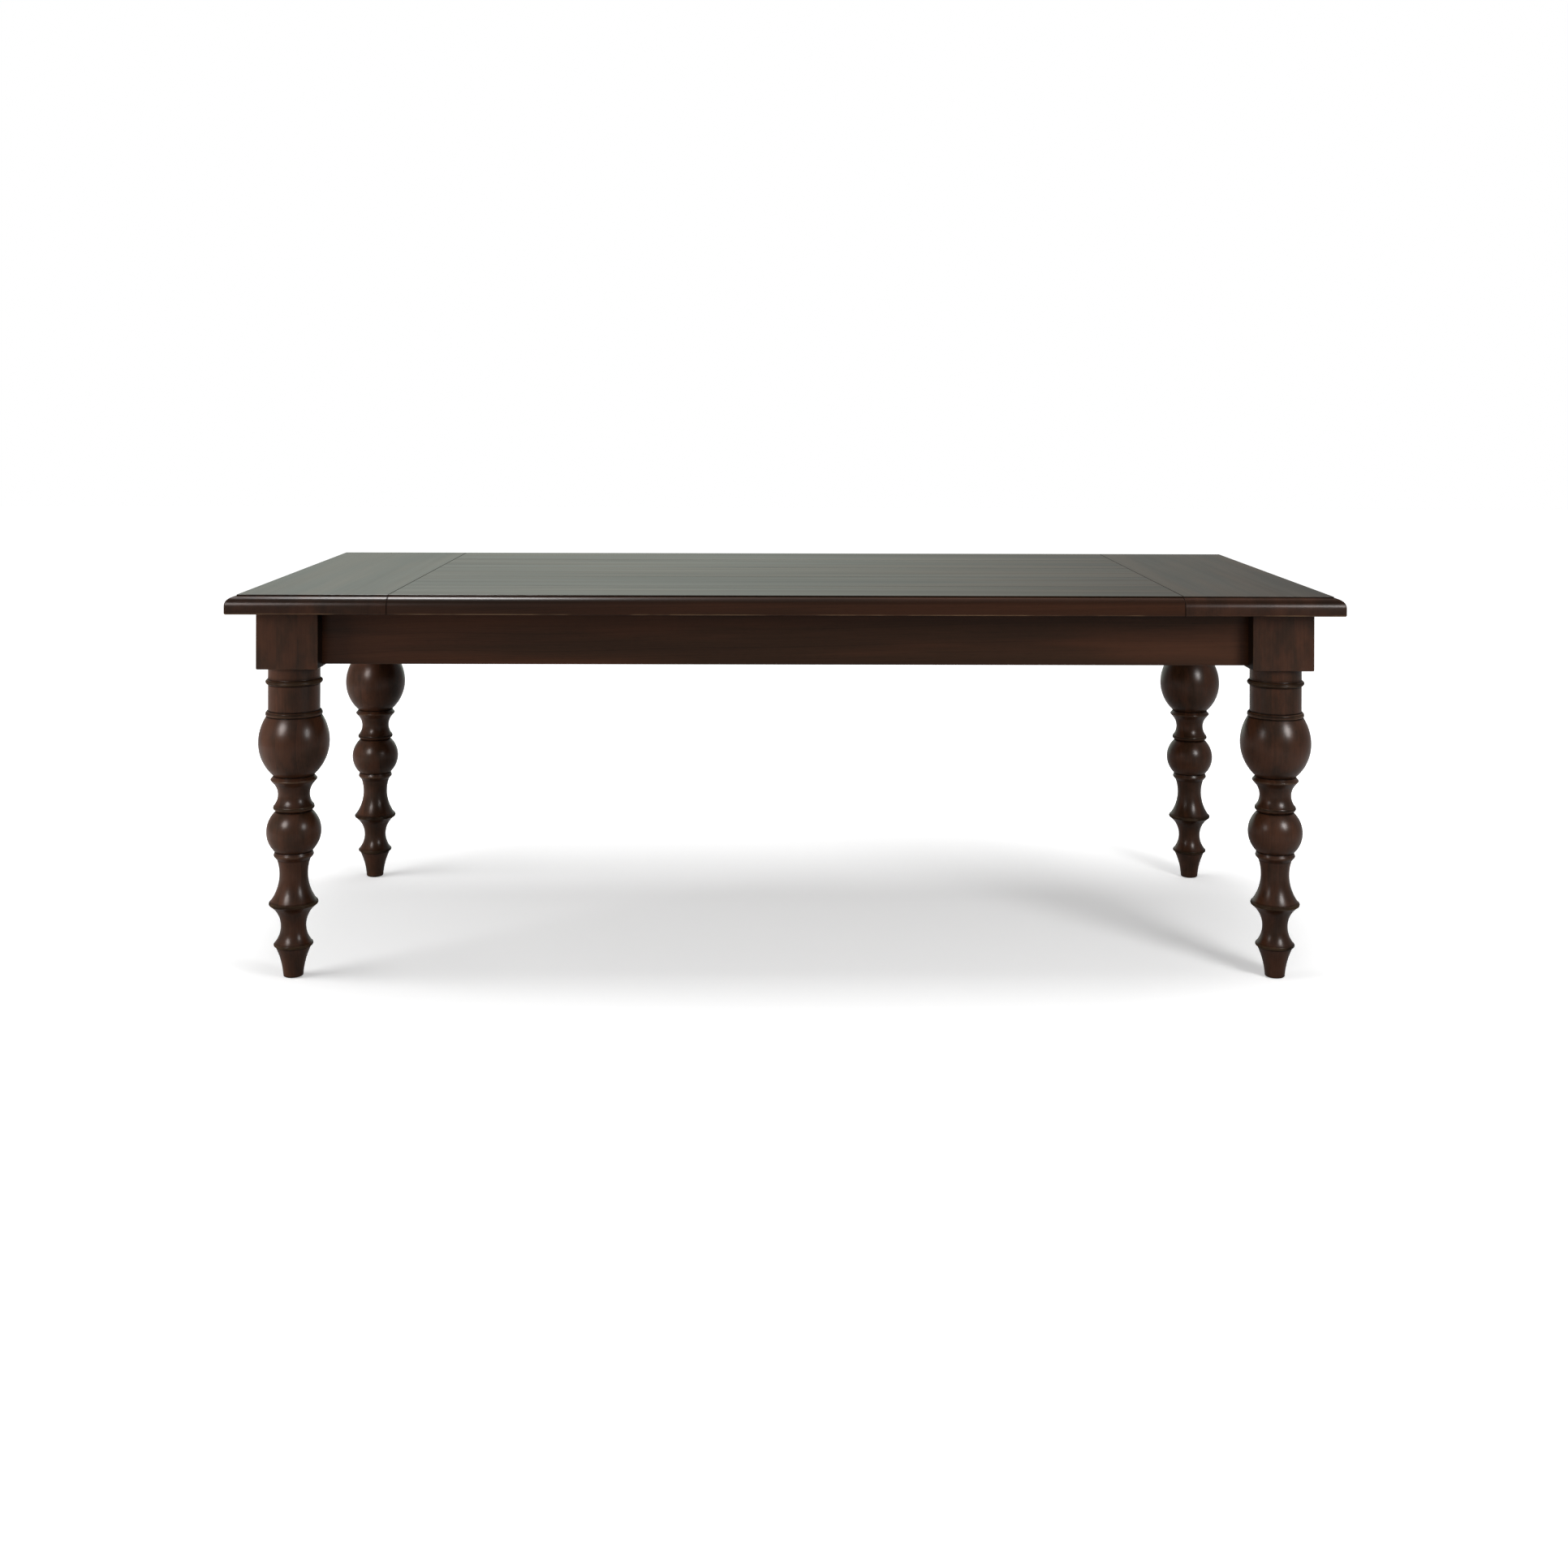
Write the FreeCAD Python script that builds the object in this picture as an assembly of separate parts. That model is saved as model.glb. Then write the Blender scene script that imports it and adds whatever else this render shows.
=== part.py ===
import FreeCAD, Part
import math
import os

from FreeCAD import Placement, Rotation, Vector

# Sizes in millimetres. The origin is on the floor under the middle of the table.
# X runs along the table, Y from its front to its back, and Z up.

TABLE_LENGTH = 2160
TABLE_WIDTH = 965
TABLE_HEIGHT = 762

# Top: long boards, edge to edge, held flat by a wide breadboard at each end
TOP_THICKNESS = 37
BREADBOARD_WIDTH = 312
BOARD_COUNT = 5
SEAM_CHAMFER = 0.8
JOINT_CLEARANCE = 0.2

# Joints between the boards, and between their ends and the breadboards
EDGE_TONGUE_THICKNESS = 9
EDGE_TONGUE_DEPTH = 8
END_TONGUE_THICKNESS = 12
END_TONGUE_LENGTH = 45
END_TONGUE_SPACING = 1
END_GROOVE_SPARE = 1
END_GROOVE_STOP = 45

# Wooden pegs driven up through the tongues, in slots that let the boards move
PEG_RADIUS = 5
PEG_LENGTH = 28
PEG_TIP_CHAMFER = 1
PEG_FROM_SEAM = 22
PEG_SLOT_TRAVEL = 6

# Moulding round the top: a small step, an ovolo, a flat face and an eased lower edge
MOULD_INSET = 20
MOULD_STEP = 3
MOULD_OVOLO_HEIGHT = 18
MOULD_LOWER_ROUND = 3
TOP_CORNER_ROUND = 4

# Legs: a square block over a turned baluster
LEG_BLOCK_WIDTH = 120
LEG_BLOCK_LENGTH = 112
LEG_BLOCK_ROUND = 2.5
END_OVERHANG = 50
SIDE_OVERHANG = 44.5
CORNER_FLAT = 12

# Nylon glide nailed into a shallow seat under each foot
GLIDE_RADIUS = 12.5
GLIDE_THICKNESS = 4
GLIDE_REVEAL = 1.5
GLIDE_NAIL_RADIUS = 1.5
GLIDE_NAIL_LENGTH = 18

# Aprons, set back from the faces of the leg blocks
APRON_HEIGHT = 106
APRON_THICKNESS = 25
APRON_RECESS = 38
APRON_LOWER_ROUND = 1.5
BUTTON_GROOVE_DROP = 12
BUTTON_GROOVE_HEIGHT = 8
BUTTON_GROOVE_DEPTH = 9

# Corner blocks, tongued into the aprons, that the legs are drawn up against
CORNER_BLOCK_THICKNESS = 38
CORNER_BLOCK_HEIGHT = 92
CORNER_TONGUE_WIDTH = 8
CORNER_TONGUE_DEPTH = 6
CORNER_SCREW_SHARE = 0.78
CORNER_SCREW_SPREAD = 30
CORNER_SCREW_SEAT = 8
CORNER_SCREW_LENGTH = 24

# Hanger bolts: wood thread in the leg, machine thread through the corner block
BOLT_RADIUS = 4
BOLT_HOLE_RADIUS = 4.5
BOLT_GRIP_IN_LEG = 50
BOLT_SPREAD = 24
BOLT_END_SPARE = 5
WASHER_RADIUS = 11
WASHER_THICKNESS = 1.6
NUT_ACROSS_FLATS = 13
NUT_THICKNESS = 6.5
NUT_SIDES = 6

# Cross rails dovetailed into the top edges of the long aprons
RAIL_WIDTH = 70
RAIL_THICKNESS = 22
RAIL_TAIL_LENGTH = 14
RAIL_TAIL_NECK = 50
RAIL_TAIL_FLARE = 3
RAIL_PLACE_SHARES = (-0.31, 0, 0.31)

# Wooden buttons that hook into the aprons' grooves and hold the top down
BUTTON_WIDTH = 28
BUTTON_LENGTH = 38
BUTTON_THICKNESS = 22
BUTTON_TONGUE_THICKNESS = 7.6
BUTTON_TONGUE_LENGTH = 8
BUTTON_STANDOFF = 0.5
SIDE_BUTTON_SHARES = (-0.44, -0.16, 0.16, 0.44)
END_BUTTON_SHARES = (-0.16, 0.16)

# Pan-head wood screws
SCREW_RADIUS = 2.2
SCREW_HEAD_RADIUS = 4.5
SCREW_HEAD_HEIGHT = 2.5
SCREW_CLEARANCE = 0.1
SCREW_HEAD_CLEARANCE = 0.5
SCREW_HEAD_SINK = 4
SCREW_BITE = 20
SCREW_SLOT_TRAVEL = 5

# How far a cutting tool runs past the wood
OVERRUN = 5

# The turning, drawn from the foot up. Heights are shares of the turned length and radii are
# shares of half the block's width. A cut is a straight line to its end, or an arc through a
# middle point to its end.
TOE_SHARES = (0.0, 0.2883)
TURNING_SHARES = (
    # toe round, tapered foot and toe bead
    ((0.0041, 0.3233), (0.0011, 0.3133)),
    ((0.0973, 0.5767), (0.0482, 0.3950)),
    ((0.1087, 0.6033), (0.1035, 0.6383)),
    # lower cove, ankle bead and the long flare over it
    ((0.2298, 0.7567), (0.1627, 0.4067)),
    ((0.2428, 0.7450), (0.2366, 0.7950)),
    ((0.3769, 0.5367), (0.3295, 0.4567)),
    # ring under the ball
    ((0.3868, 0.6217), None),
    ((0.3953, 0.6333), (0.3913, 0.6433)),
    ((0.4034, 0.6050), None),
    # ball, and the ring over it
    ((0.5330, 0.5800), (0.4666, 0.8833)),
    ((0.5398, 0.6533), None),
    ((0.5516, 0.6367), (0.5454, 0.6717)),
    # upper cove and the sharp collar under the vase
    ((0.6216, 0.6450), (0.5859, 0.5133)),
    ((0.6324, 0.7417), None),
    ((0.6376, 0.7400), (0.6350, 0.7533)),
    ((0.6478, 0.6533), None),
    # vase, up to its widest and in again
    ((0.7547, 1.1450), (0.7007, 1.0350)),
    ((0.8414, 0.8817), (0.7989, 1.0817)),
    # neck between two astragals
    ((0.8574, 0.8350), (0.8494, 0.9283)),
    ((0.9431, 0.8350), None),
    ((0.9588, 0.8350), (0.9509, 0.9217)),
)

# Places worked out from the sizes above
TOP_UNDERSIDE = TABLE_HEIGHT - TOP_THICKNESS
TOP_MIDDLE = TABLE_HEIGHT - TOP_THICKNESS / 2
BOARD_WIDTH = TABLE_WIDTH / BOARD_COUNT
SEAM_X = TABLE_LENGTH / 2 - BREADBOARD_WIDTH
PEG_X = SEAM_X + PEG_FROM_SEAM

BLOCK_BOTTOM = TOP_UNDERSIDE - LEG_BLOCK_LENGTH
HALF_BLOCK = LEG_BLOCK_WIDTH / 2
TURNED_LENGTH = BLOCK_BOTTOM - GLIDE_REVEAL
LEG_X = TABLE_LENGTH / 2 - END_OVERHANG - HALF_BLOCK
LEG_Y = TABLE_WIDTH / 2 - SIDE_OVERHANG - HALF_BLOCK

# The leg's inner corner, and how far the aprons' inner faces lie outside it
CORNER_X = LEG_X - HALF_BLOCK
CORNER_Y = LEG_Y - HALF_BLOCK
APRON_INSIDE = LEG_BLOCK_WIDTH - APRON_RECESS - APRON_THICKNESS
APRON_BOTTOM = TOP_UNDERSIDE - APRON_HEIGHT
APRON_MIDDLE = TOP_UNDERSIDE - APRON_HEIGHT / 2
LONG_APRON_Y = CORNER_Y + APRON_INSIDE
END_APRON_X = CORNER_X + APRON_INSIDE

# Where a corner block meets an apron, measured along the apron from the leg
CORNER_BLOCK_FOOT = CORNER_BLOCK_THICKNESS * math.sqrt(2)
CORNER_FOOT_START = APRON_INSIDE - CORNER_FLAT
CORNER_TONGUE_PLACE = CORNER_FOOT_START + CORNER_BLOCK_FOOT / 2
CORNER_SCREW_PLACE = CORNER_FOOT_START + CORNER_BLOCK_FOOT * CORNER_SCREW_SHARE
CORNER_BLOCK_BOTTOM = TOP_UNDERSIDE - CORNER_BLOCK_HEIGHT
BOLT_HEIGHTS = (APRON_MIDDLE - BOLT_SPREAD, APRON_MIDDLE + BOLT_SPREAD)
CORNER_SCREW_HEIGHTS = (APRON_MIDDLE - CORNER_SCREW_SPREAD, APRON_MIDDLE + CORNER_SCREW_SPREAD)

# Which way each drawn outline or shaft is turned
UP = Vector(0, 0, 1)
STANDING = Rotation(Vector(1, 0, 0), 90)
ALONG_X = Rotation(Vector(1, 1, 1), 120)
OUT_OF_CORNER = Vector(1, 1, 0).normalize()
ALONG_BOLT = Rotation(UP, OUT_OF_CORNER)

# A cubic whose handles reach this share of the way to the corner follows a quarter ellipse
ROUND_HANDLE_SHARE = 0.5523

CORNERS = {
    "front_left": (-1, -1),
    "front_right": (1, -1),
    "back_left": (-1, 1),
    "back_right": (1, 1),
}


class Path:
    """A line drawn point by point in a flat drawing: u runs across and v up."""

    def __init__(self, u, v):
        self.start = Vector(u, v, 0)
        self.here = self.start
        self.edges = []

    def line(self, u, v):
        there = Vector(u, v, 0)
        self.edges.append(Part.LineSegment(self.here, there).toShape())
        self.here = there

    def arc(self, middle_u, middle_v, u, v):
        there = Vector(u, v, 0)
        self.edges.append(Part.Arc(self.here, Vector(middle_u, middle_v, 0), there).toShape())
        self.here = there

    def quarter_round(self, corner_u, corner_v, u, v):
        """A quarter ellipse that would touch the corner if it were square."""
        there = Vector(u, v, 0)
        corner = Vector(corner_u, corner_v, 0)
        leave = self.here + (corner - self.here) * ROUND_HANDLE_SHARE
        arrive = there + (corner - there) * ROUND_HANDLE_SHARE
        curve = Part.BezierCurve()
        curve.setPoles([self.here, leave, arrive, there])
        self.edges.append(curve.toShape())
        self.here = there


def face_between(left, right):
    """The face between two paths drawn upwards, closed below and above."""
    base = Part.LineSegment(left.start, right.start).toShape()
    head = Part.LineSegment(left.here, right.here).toShape()
    edges = left.edges + right.edges + [base, head]
    return Part.Face(Part.Wire(Part.__sortEdges__(edges)))


def prism(face, placement, length):
    solid = face.extrude(UP * length)
    solid.Placement = placement
    return solid


def plan_prism(points, bottom, top):
    """A solid standing on a plan of straight sides."""
    corners = [Vector(x, y, bottom) for x, y in points]
    outline = Part.makePolygon(corners + corners[:1])
    return Part.Face(outline).extrude(UP * (top - bottom))


def box(low, high):
    return Part.makeBox(high[0] - low[0], high[1] - low[1], high[2] - low[2], Vector(*low))


def slot(radius, travel, centre, depth):
    """An upright slot lengthened along Y."""
    half = travel / 2
    shape = box(
        (centre.x - radius, centre.y - half, centre.z),
        (centre.x + radius, centre.y + half, centre.z + depth),
    )
    for side in (-half, half):
        end = centre + Vector(0, side, 0)
        shape = shape.fuse(Part.makeCylinder(radius, depth, end, UP))
    return shape.removeSplitter()


def screw(seat, direction, length):
    """A screw whose head sits on the seat and whose shank runs on from it."""
    shank = Part.makeCylinder(SCREW_RADIUS, length, seat, direction)
    head = Part.makeCylinder(SCREW_HEAD_RADIUS, SCREW_HEAD_HEIGHT, seat, direction * -1)
    return shank.fuse(head).removeSplitter()


def screw_hole(seat, direction, length):
    radius = SCREW_RADIUS + SCREW_CLEARANCE
    return Part.makeCylinder(radius, length + SCREW_CLEARANCE, seat, direction)


def screw_pocket(seat, direction, depth):
    radius = SCREW_HEAD_RADIUS + SCREW_HEAD_CLEARANCE
    return Part.makeCylinder(radius, depth, seat, direction * -1)


def in_corner(shape, corner):
    """Move a shape made for the back right corner to another corner."""
    side_x, side_y = CORNERS[corner]
    if side_x < 0:
        shape = shape.mirror(Vector(), Vector(1, 0, 0))
    if side_y < 0:
        shape = shape.mirror(Vector(), Vector(0, 1, 0))
    return shape


def in_all_corners(shapes):
    return [in_corner(shape, corner) for corner in CORNERS for shape in shapes]


# Top

def moulded_side(edge, wood, run_past=0):
    """The moulded edge of the top, with the wood towards wood, 1 or -1."""
    shoulder = TABLE_HEIGHT - MOULD_STEP
    flat = edge + wood * MOULD_INSET
    path = Path(edge + wood * MOULD_LOWER_ROUND, TOP_UNDERSIDE - run_past)
    if run_past:
        path.line(edge + wood * MOULD_LOWER_ROUND, TOP_UNDERSIDE)
    path.quarter_round(edge, TOP_UNDERSIDE, edge, TOP_UNDERSIDE + MOULD_LOWER_ROUND)
    path.line(edge, shoulder - MOULD_OVOLO_HEIGHT)
    path.quarter_round(edge, shoulder, flat, shoulder)
    path.line(flat, TABLE_HEIGHT + run_past)
    return path


def jointed_side(edge, wood, clearance):
    """A board's inner edge: its tongue, or with a clearance the groove round that tongue."""
    tip = edge + EDGE_TONGUE_DEPTH + clearance
    low = TOP_MIDDLE - EDGE_TONGUE_THICKNESS / 2 - clearance
    high = TOP_MIDDLE + EDGE_TONGUE_THICKNESS / 2 + clearance
    path = Path(edge, TOP_UNDERSIDE)
    path.line(edge, low)
    path.line(tip, low)
    path.line(tip, high)
    path.line(edge, high)
    path.line(edge, TABLE_HEIGHT - SEAM_CHAMFER)
    path.line(edge + wood * SEAM_CHAMFER, TABLE_HEIGHT)
    return path


def seam_cutter(side):
    """The bevel along the top of a board's end, at the right or left seam."""
    tip = Path(side * (SEAM_X - SEAM_CHAMFER - OVERRUN), TABLE_HEIGHT + OVERRUN)
    tip.line(side * (SEAM_X + OVERRUN), TABLE_HEIGHT - SEAM_CHAMFER - OVERRUN)
    tip.line(side * (SEAM_X + OVERRUN), TABLE_HEIGHT + OVERRUN)
    tip.line(tip.start.x, tip.start.y)
    place = Placement(Vector(0, TABLE_WIDTH / 2, 0), STANDING)
    return prism(Part.Face(Part.Wire(tip.edges)), place, TABLE_WIDTH)


def moulded_seam_cutter(side, edge, wood):
    """The V groove of a seam down the moulded face of the top, on both sides of the seam."""
    run_out = SEAM_CHAMFER + OVERRUN
    outside = edge - wood * OVERRUN
    corners = ((SEAM_X - run_out, outside), (SEAM_X + run_out, outside), (SEAM_X, edge + wood * SEAM_CHAMFER))
    shoulder = TABLE_HEIGHT - MOULD_STEP - MOULD_OVOLO_HEIGHT
    return plan_prism([(side * x, y) for x, y in corners], TOP_UNDERSIDE - OVERRUN, shoulder)


def tongue_limits(number):
    """Where a board's end tongue starts and stops across the table."""
    low = -TABLE_WIDTH / 2 + number * BOARD_WIDTH
    high = low + BOARD_WIDTH
    stop = TABLE_WIDTH / 2 - END_GROOVE_STOP - END_GROOVE_SPARE
    return max(low + END_TONGUE_SPACING, -stop), min(high - END_TONGUE_SPACING, stop)


def peg_place(number, side):
    low, high = tongue_limits(number)
    return Vector(side * PEG_X, (low + high) / 2, TOP_UNDERSIDE)


def rail_screw_place(number, share):
    """Under the middle of the part of a board that the aprons leave open."""
    low = -TABLE_WIDTH / 2 + number * BOARD_WIDTH
    low, high = max(low, -LONG_APRON_Y), min(low + BOARD_WIDTH, LONG_APRON_Y)
    return Vector(share * 2 * SEAM_X, (low + high) / 2, TOP_UNDERSIDE - RAIL_THICKNESS + SCREW_HEAD_SINK)


def rail_screw_length():
    return RAIL_THICKNESS - SCREW_HEAD_SINK + SCREW_BITE


def top_board(number):
    low = -TABLE_WIDTH / 2 + number * BOARD_WIDTH
    high = low + BOARD_WIDTH
    first = number == 0
    last = number == BOARD_COUNT - 1
    left = moulded_side(low, 1) if first else jointed_side(low, 1, JOINT_CLEARANCE)
    right = moulded_side(high, -1) if last else jointed_side(high, -1, 0)
    place = Placement(Vector(-SEAM_X, 0, 0), ALONG_X)
    board = prism(face_between(left, right), place, 2 * SEAM_X)

    tongue_low, tongue_high = tongue_limits(number)
    bottom = TOP_MIDDLE - END_TONGUE_THICKNESS / 2
    top = TOP_MIDDLE + END_TONGUE_THICKNESS / 2
    reach = SEAM_X + END_TONGUE_LENGTH
    tongue = box((SEAM_X, tongue_low, bottom), (reach, tongue_high, top))
    board = board.fuse(tongue).fuse(tongue.mirror(Vector(), Vector(1, 0, 0))).removeSplitter()

    travel = 0 if number == BOARD_COUNT // 2 else PEG_SLOT_TRAVEL
    above = box((-reach, low, top), (reach, high, TABLE_HEIGHT))
    for side in (-1, 1):
        board = board.cut(seam_cutter(side).common(above))
        hole = peg_place(number, side)
        if travel:
            board = board.cut(slot(PEG_RADIUS + JOINT_CLEARANCE, travel, hole, TOP_THICKNESS))
        else:
            board = board.cut(Part.makeCylinder(PEG_RADIUS + JOINT_CLEARANCE, TOP_THICKNESS, hole, UP))
        if first or last:
            edge, wood = (low, 1) if first else (high, -1)
            board = board.cut(moulded_seam_cutter(side, edge, wood))
    for share in RAIL_PLACE_SHARES:
        board = board.cut(screw_hole(rail_screw_place(number, share), UP, rail_screw_length()))
    return board.cut(Part.makeCompound(button_screw_holes()))


def rounded_outline():
    """The plan of a breadboard with its two outer corners rounded, as tall as the top."""
    low = (SEAM_X - OVERRUN, -TABLE_WIDTH / 2, TOP_UNDERSIDE)
    block = box(low, (TABLE_LENGTH / 2, TABLE_WIDTH / 2, TABLE_HEIGHT))
    outer = [edge for edge in block.Edges if edge.CenterOfMass.x > SEAM_X]
    upright = [edge for edge in outer if edge.BoundBox.ZLength > TOP_THICKNESS / 2]
    return block.makeFillet(TOP_CORNER_ROUND, upright)


def breadboard_end(side):
    """A breadboard, moulded on three sides, with a stopped groove for the tongues."""
    inner = Path(SEAM_X, TOP_UNDERSIDE)
    inner.line(SEAM_X, TABLE_HEIGHT - SEAM_CHAMFER)
    inner.line(SEAM_X + SEAM_CHAMFER, TABLE_HEIGHT)
    across = face_between(inner, moulded_side(TABLE_LENGTH / 2, -1))
    place = Placement(Vector(0, TABLE_WIDTH / 2 + OVERRUN, 0), STANDING)
    end = prism(across, place, TABLE_WIDTH + 2 * OVERRUN)

    front = moulded_side(-TABLE_WIDTH / 2, 1, OVERRUN)
    back = moulded_side(TABLE_WIDTH / 2, -1, OVERRUN)
    along = face_between(front, back)
    place = Placement(Vector(SEAM_X - OVERRUN, 0, 0), ALONG_X)
    end = end.common(prism(along, place, BREADBOARD_WIDTH + 2 * OVERRUN)).common(rounded_outline())
    for wood in (-1, 1):
        end = end.cut(moulded_seam_cutter(1, -wood * TABLE_WIDTH / 2, wood))

    groove_end = TABLE_WIDTH / 2 - END_GROOVE_STOP
    half = END_TONGUE_THICKNESS / 2 + JOINT_CLEARANCE
    depth = END_TONGUE_LENGTH + END_GROOVE_SPARE
    end = end.cut(box(
        (SEAM_X - OVERRUN, -groove_end, TOP_MIDDLE - half),
        (SEAM_X + depth, groove_end, TOP_MIDDLE + half),
    ))
    for number in range(BOARD_COUNT):
        hole = peg_place(number, 1)
        end = end.cut(Part.makeCylinder(PEG_RADIUS + JOINT_CLEARANCE, PEG_LENGTH, hole, UP))
    if side < 0:
        end = end.mirror(Vector(), Vector(1, 0, 0))
    return end.cut(Part.makeCompound(button_screw_holes()))


def breadboard_pegs(side):
    pegs = []
    for number in range(BOARD_COUNT):
        peg = Part.makeCylinder(PEG_RADIUS, PEG_LENGTH, peg_place(number, side), UP)
        tip = [edge for edge in peg.Edges if edge.BoundBox.ZMin > TOP_MIDDLE]
        pegs.append(peg.makeChamfer(PEG_TIP_CHAMFER, tip))
    return pegs


# Legs

def turned_point(shares):
    """A point of the turning as radius and height, from its height and radius shares."""
    return shares[1] * HALF_BLOCK, GLIDE_REVEAL + shares[0] * TURNED_LENGTH


def turning():
    """The turned baluster, on the leg's own axis, run on a little way into the block."""
    neck_radius = TURNING_SHARES[-1][0][1] * HALF_BLOCK
    path = Path(0, GLIDE_REVEAL)
    path.line(*turned_point(TOE_SHARES))
    for end, middle in TURNING_SHARES:
        if middle:
            path.arc(*turned_point(middle), *turned_point(end))
        else:
            path.line(*turned_point(end))
    path.line(neck_radius, BLOCK_BOTTOM + OVERRUN)
    path.line(0, BLOCK_BOTTOM + OVERRUN)
    path.line(0, GLIDE_REVEAL)
    half_section = Part.Face(Part.Wire(path.edges))
    half_section.Placement = Placement(Vector(), STANDING)
    return half_section.revolve(Vector(), UP, 360)


def leg_block():
    block = box(
        (CORNER_X, CORNER_Y, BLOCK_BOTTOM),
        (LEG_X + HALF_BLOCK, LEG_Y + HALF_BLOCK, TOP_UNDERSIDE),
    )
    eased = [edge for edge in block.Edges if edge.BoundBox.ZMin < TOP_UNDERSIDE - LEG_BLOCK_ROUND]
    return block.makeFillet(LEG_BLOCK_ROUND, eased)


def hanger_holes():
    """Pilot holes in the leg, from the flat on its inner corner."""
    start = CORNER_FLAT / math.sqrt(2) - OVERRUN
    radius = BOLT_RADIUS + SCREW_CLEARANCE
    depth = OVERRUN + BOLT_GRIP_IN_LEG + SCREW_CLEARANCE
    holes = []
    for height in BOLT_HEIGHTS:
        mouth = Vector(CORNER_X, CORNER_Y, height) + OUT_OF_CORNER * start
        holes.append(Part.makeCylinder(radius, depth, mouth, OUT_OF_CORNER))
    return holes


def leg():
    turned = turning()
    turned.translate(Vector(LEG_X, LEG_Y, 0))
    body = leg_block().fuse(turned).removeSplitter()

    near = CORNER_FLAT + OVERRUN
    flat = [
        (CORNER_X - OVERRUN, CORNER_Y + near),
        (CORNER_X - OVERRUN, CORNER_Y - OVERRUN),
        (CORNER_X + near, CORNER_Y - OVERRUN),
    ]
    body = body.cut(plan_prism(flat, CORNER_BLOCK_BOTTOM, TOP_UNDERSIDE + OVERRUN))
    for hole in hanger_holes():
        body = body.cut(hole)

    foot = Vector(LEG_X, LEG_Y, 0)
    body = body.cut(Part.makeCylinder(GLIDE_RADIUS + JOINT_CLEARANCE, GLIDE_THICKNESS, foot, UP))
    nail = GLIDE_THICKNESS + GLIDE_NAIL_LENGTH + SCREW_CLEARANCE
    return body.cut(Part.makeCylinder(GLIDE_NAIL_RADIUS + SCREW_CLEARANCE, nail, foot, UP))


def foot_glide():
    foot = Vector(LEG_X, LEG_Y, 0)
    pad = Part.makeCylinder(GLIDE_RADIUS, GLIDE_THICKNESS, foot, UP)
    nail = Part.makeCylinder(GLIDE_NAIL_RADIUS, GLIDE_THICKNESS + GLIDE_NAIL_LENGTH, foot, UP)
    return pad.fuse(nail).removeSplitter()


# Aprons, drawn along X with the inner face at zero depth

def tail_plan(clearance, start):
    """A rail's dovetail in plan, from its shoulder line outwards."""
    neck = RAIL_TAIL_NECK / 2 + clearance
    wide = neck + RAIL_TAIL_FLARE
    tip = RAIL_TAIL_LENGTH + clearance
    return [(-neck, start), (-neck, 0), (-wide, tip), (wide, tip), (neck, 0), (neck, start)]


def apron_blank(length):
    outer = Path(APRON_THICKNESS - APRON_LOWER_ROUND, APRON_BOTTOM)
    outer.quarter_round(
        APRON_THICKNESS, APRON_BOTTOM, APRON_THICKNESS, APRON_BOTTOM + APRON_LOWER_ROUND
    )
    outer.line(APRON_THICKNESS, TOP_UNDERSIDE)

    groove_top = TOP_UNDERSIDE - BUTTON_GROOVE_DROP
    groove_bottom = groove_top - BUTTON_GROOVE_HEIGHT
    inner = Path(APRON_LOWER_ROUND, APRON_BOTTOM)
    inner.quarter_round(0, APRON_BOTTOM, 0, APRON_BOTTOM + APRON_LOWER_ROUND)
    inner.line(0, groove_bottom)
    inner.line(BUTTON_GROOVE_DEPTH, groove_bottom)
    inner.line(BUTTON_GROOVE_DEPTH, groove_top)
    inner.line(0, groove_top)
    inner.line(0, TOP_UNDERSIDE)
    blank = prism(face_between(inner, outer), Placement(Vector(-length / 2, 0, 0), ALONG_X), length)

    half = CORNER_TONGUE_WIDTH / 2 + JOINT_CLEARANCE
    for side in (-1, 1):
        dado = side * (length / 2 - CORNER_TONGUE_PLACE)
        blank = blank.cut(box(
            (dado - half, -OVERRUN, CORNER_BLOCK_BOTTOM - JOINT_CLEARANCE),
            (dado + half, CORNER_TONGUE_DEPTH + JOINT_CLEARANCE, TOP_UNDERSIDE + OVERRUN),
        ))
        for height in CORNER_SCREW_HEIGHTS:
            seat = Vector(side * (length / 2 - CORNER_SCREW_PLACE), -CORNER_SCREW_SEAT, height)
            blank = blank.cut(screw_hole(seat, Vector(0, 1, 0), CORNER_SCREW_LENGTH))
    return blank


def long_apron(side):
    apron = apron_blank(2 * CORNER_X)
    bottom = TOP_UNDERSIDE - RAIL_THICKNESS - JOINT_CLEARANCE
    for share in RAIL_PLACE_SHARES:
        socket = plan_prism(tail_plan(JOINT_CLEARANCE, -OVERRUN), bottom, TOP_UNDERSIDE + OVERRUN)
        socket.translate(Vector(share * 2 * SEAM_X, 0, 0))
        apron = apron.cut(socket)
    apron.translate(Vector(0, LONG_APRON_Y, 0))
    return apron if side > 0 else apron.mirror(Vector(), Vector(0, 1, 0))


def end_apron(side):
    apron = apron_blank(2 * CORNER_Y)
    apron.rotate(Vector(), UP, -90)
    apron.translate(Vector(END_APRON_X, 0, 0))
    return apron if side > 0 else apron.mirror(Vector(), Vector(1, 0, 0))


# Corner blocks and the bolts that draw each leg into its corner

def across_corner(shape):
    """The same shape on the other side of the line through the leg's corner."""
    return shape.mirror(Vector(CORNER_X, CORNER_Y, 0), Vector(1, -1, 0))


def corner_screw_seats():
    """Screw seats at the foot that rests on the long apron."""
    x = CORNER_X - CORNER_SCREW_PLACE
    y = LONG_APRON_Y - CORNER_SCREW_SEAT
    return [Vector(x, y, height) for height in CORNER_SCREW_HEIGHTS]


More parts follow.
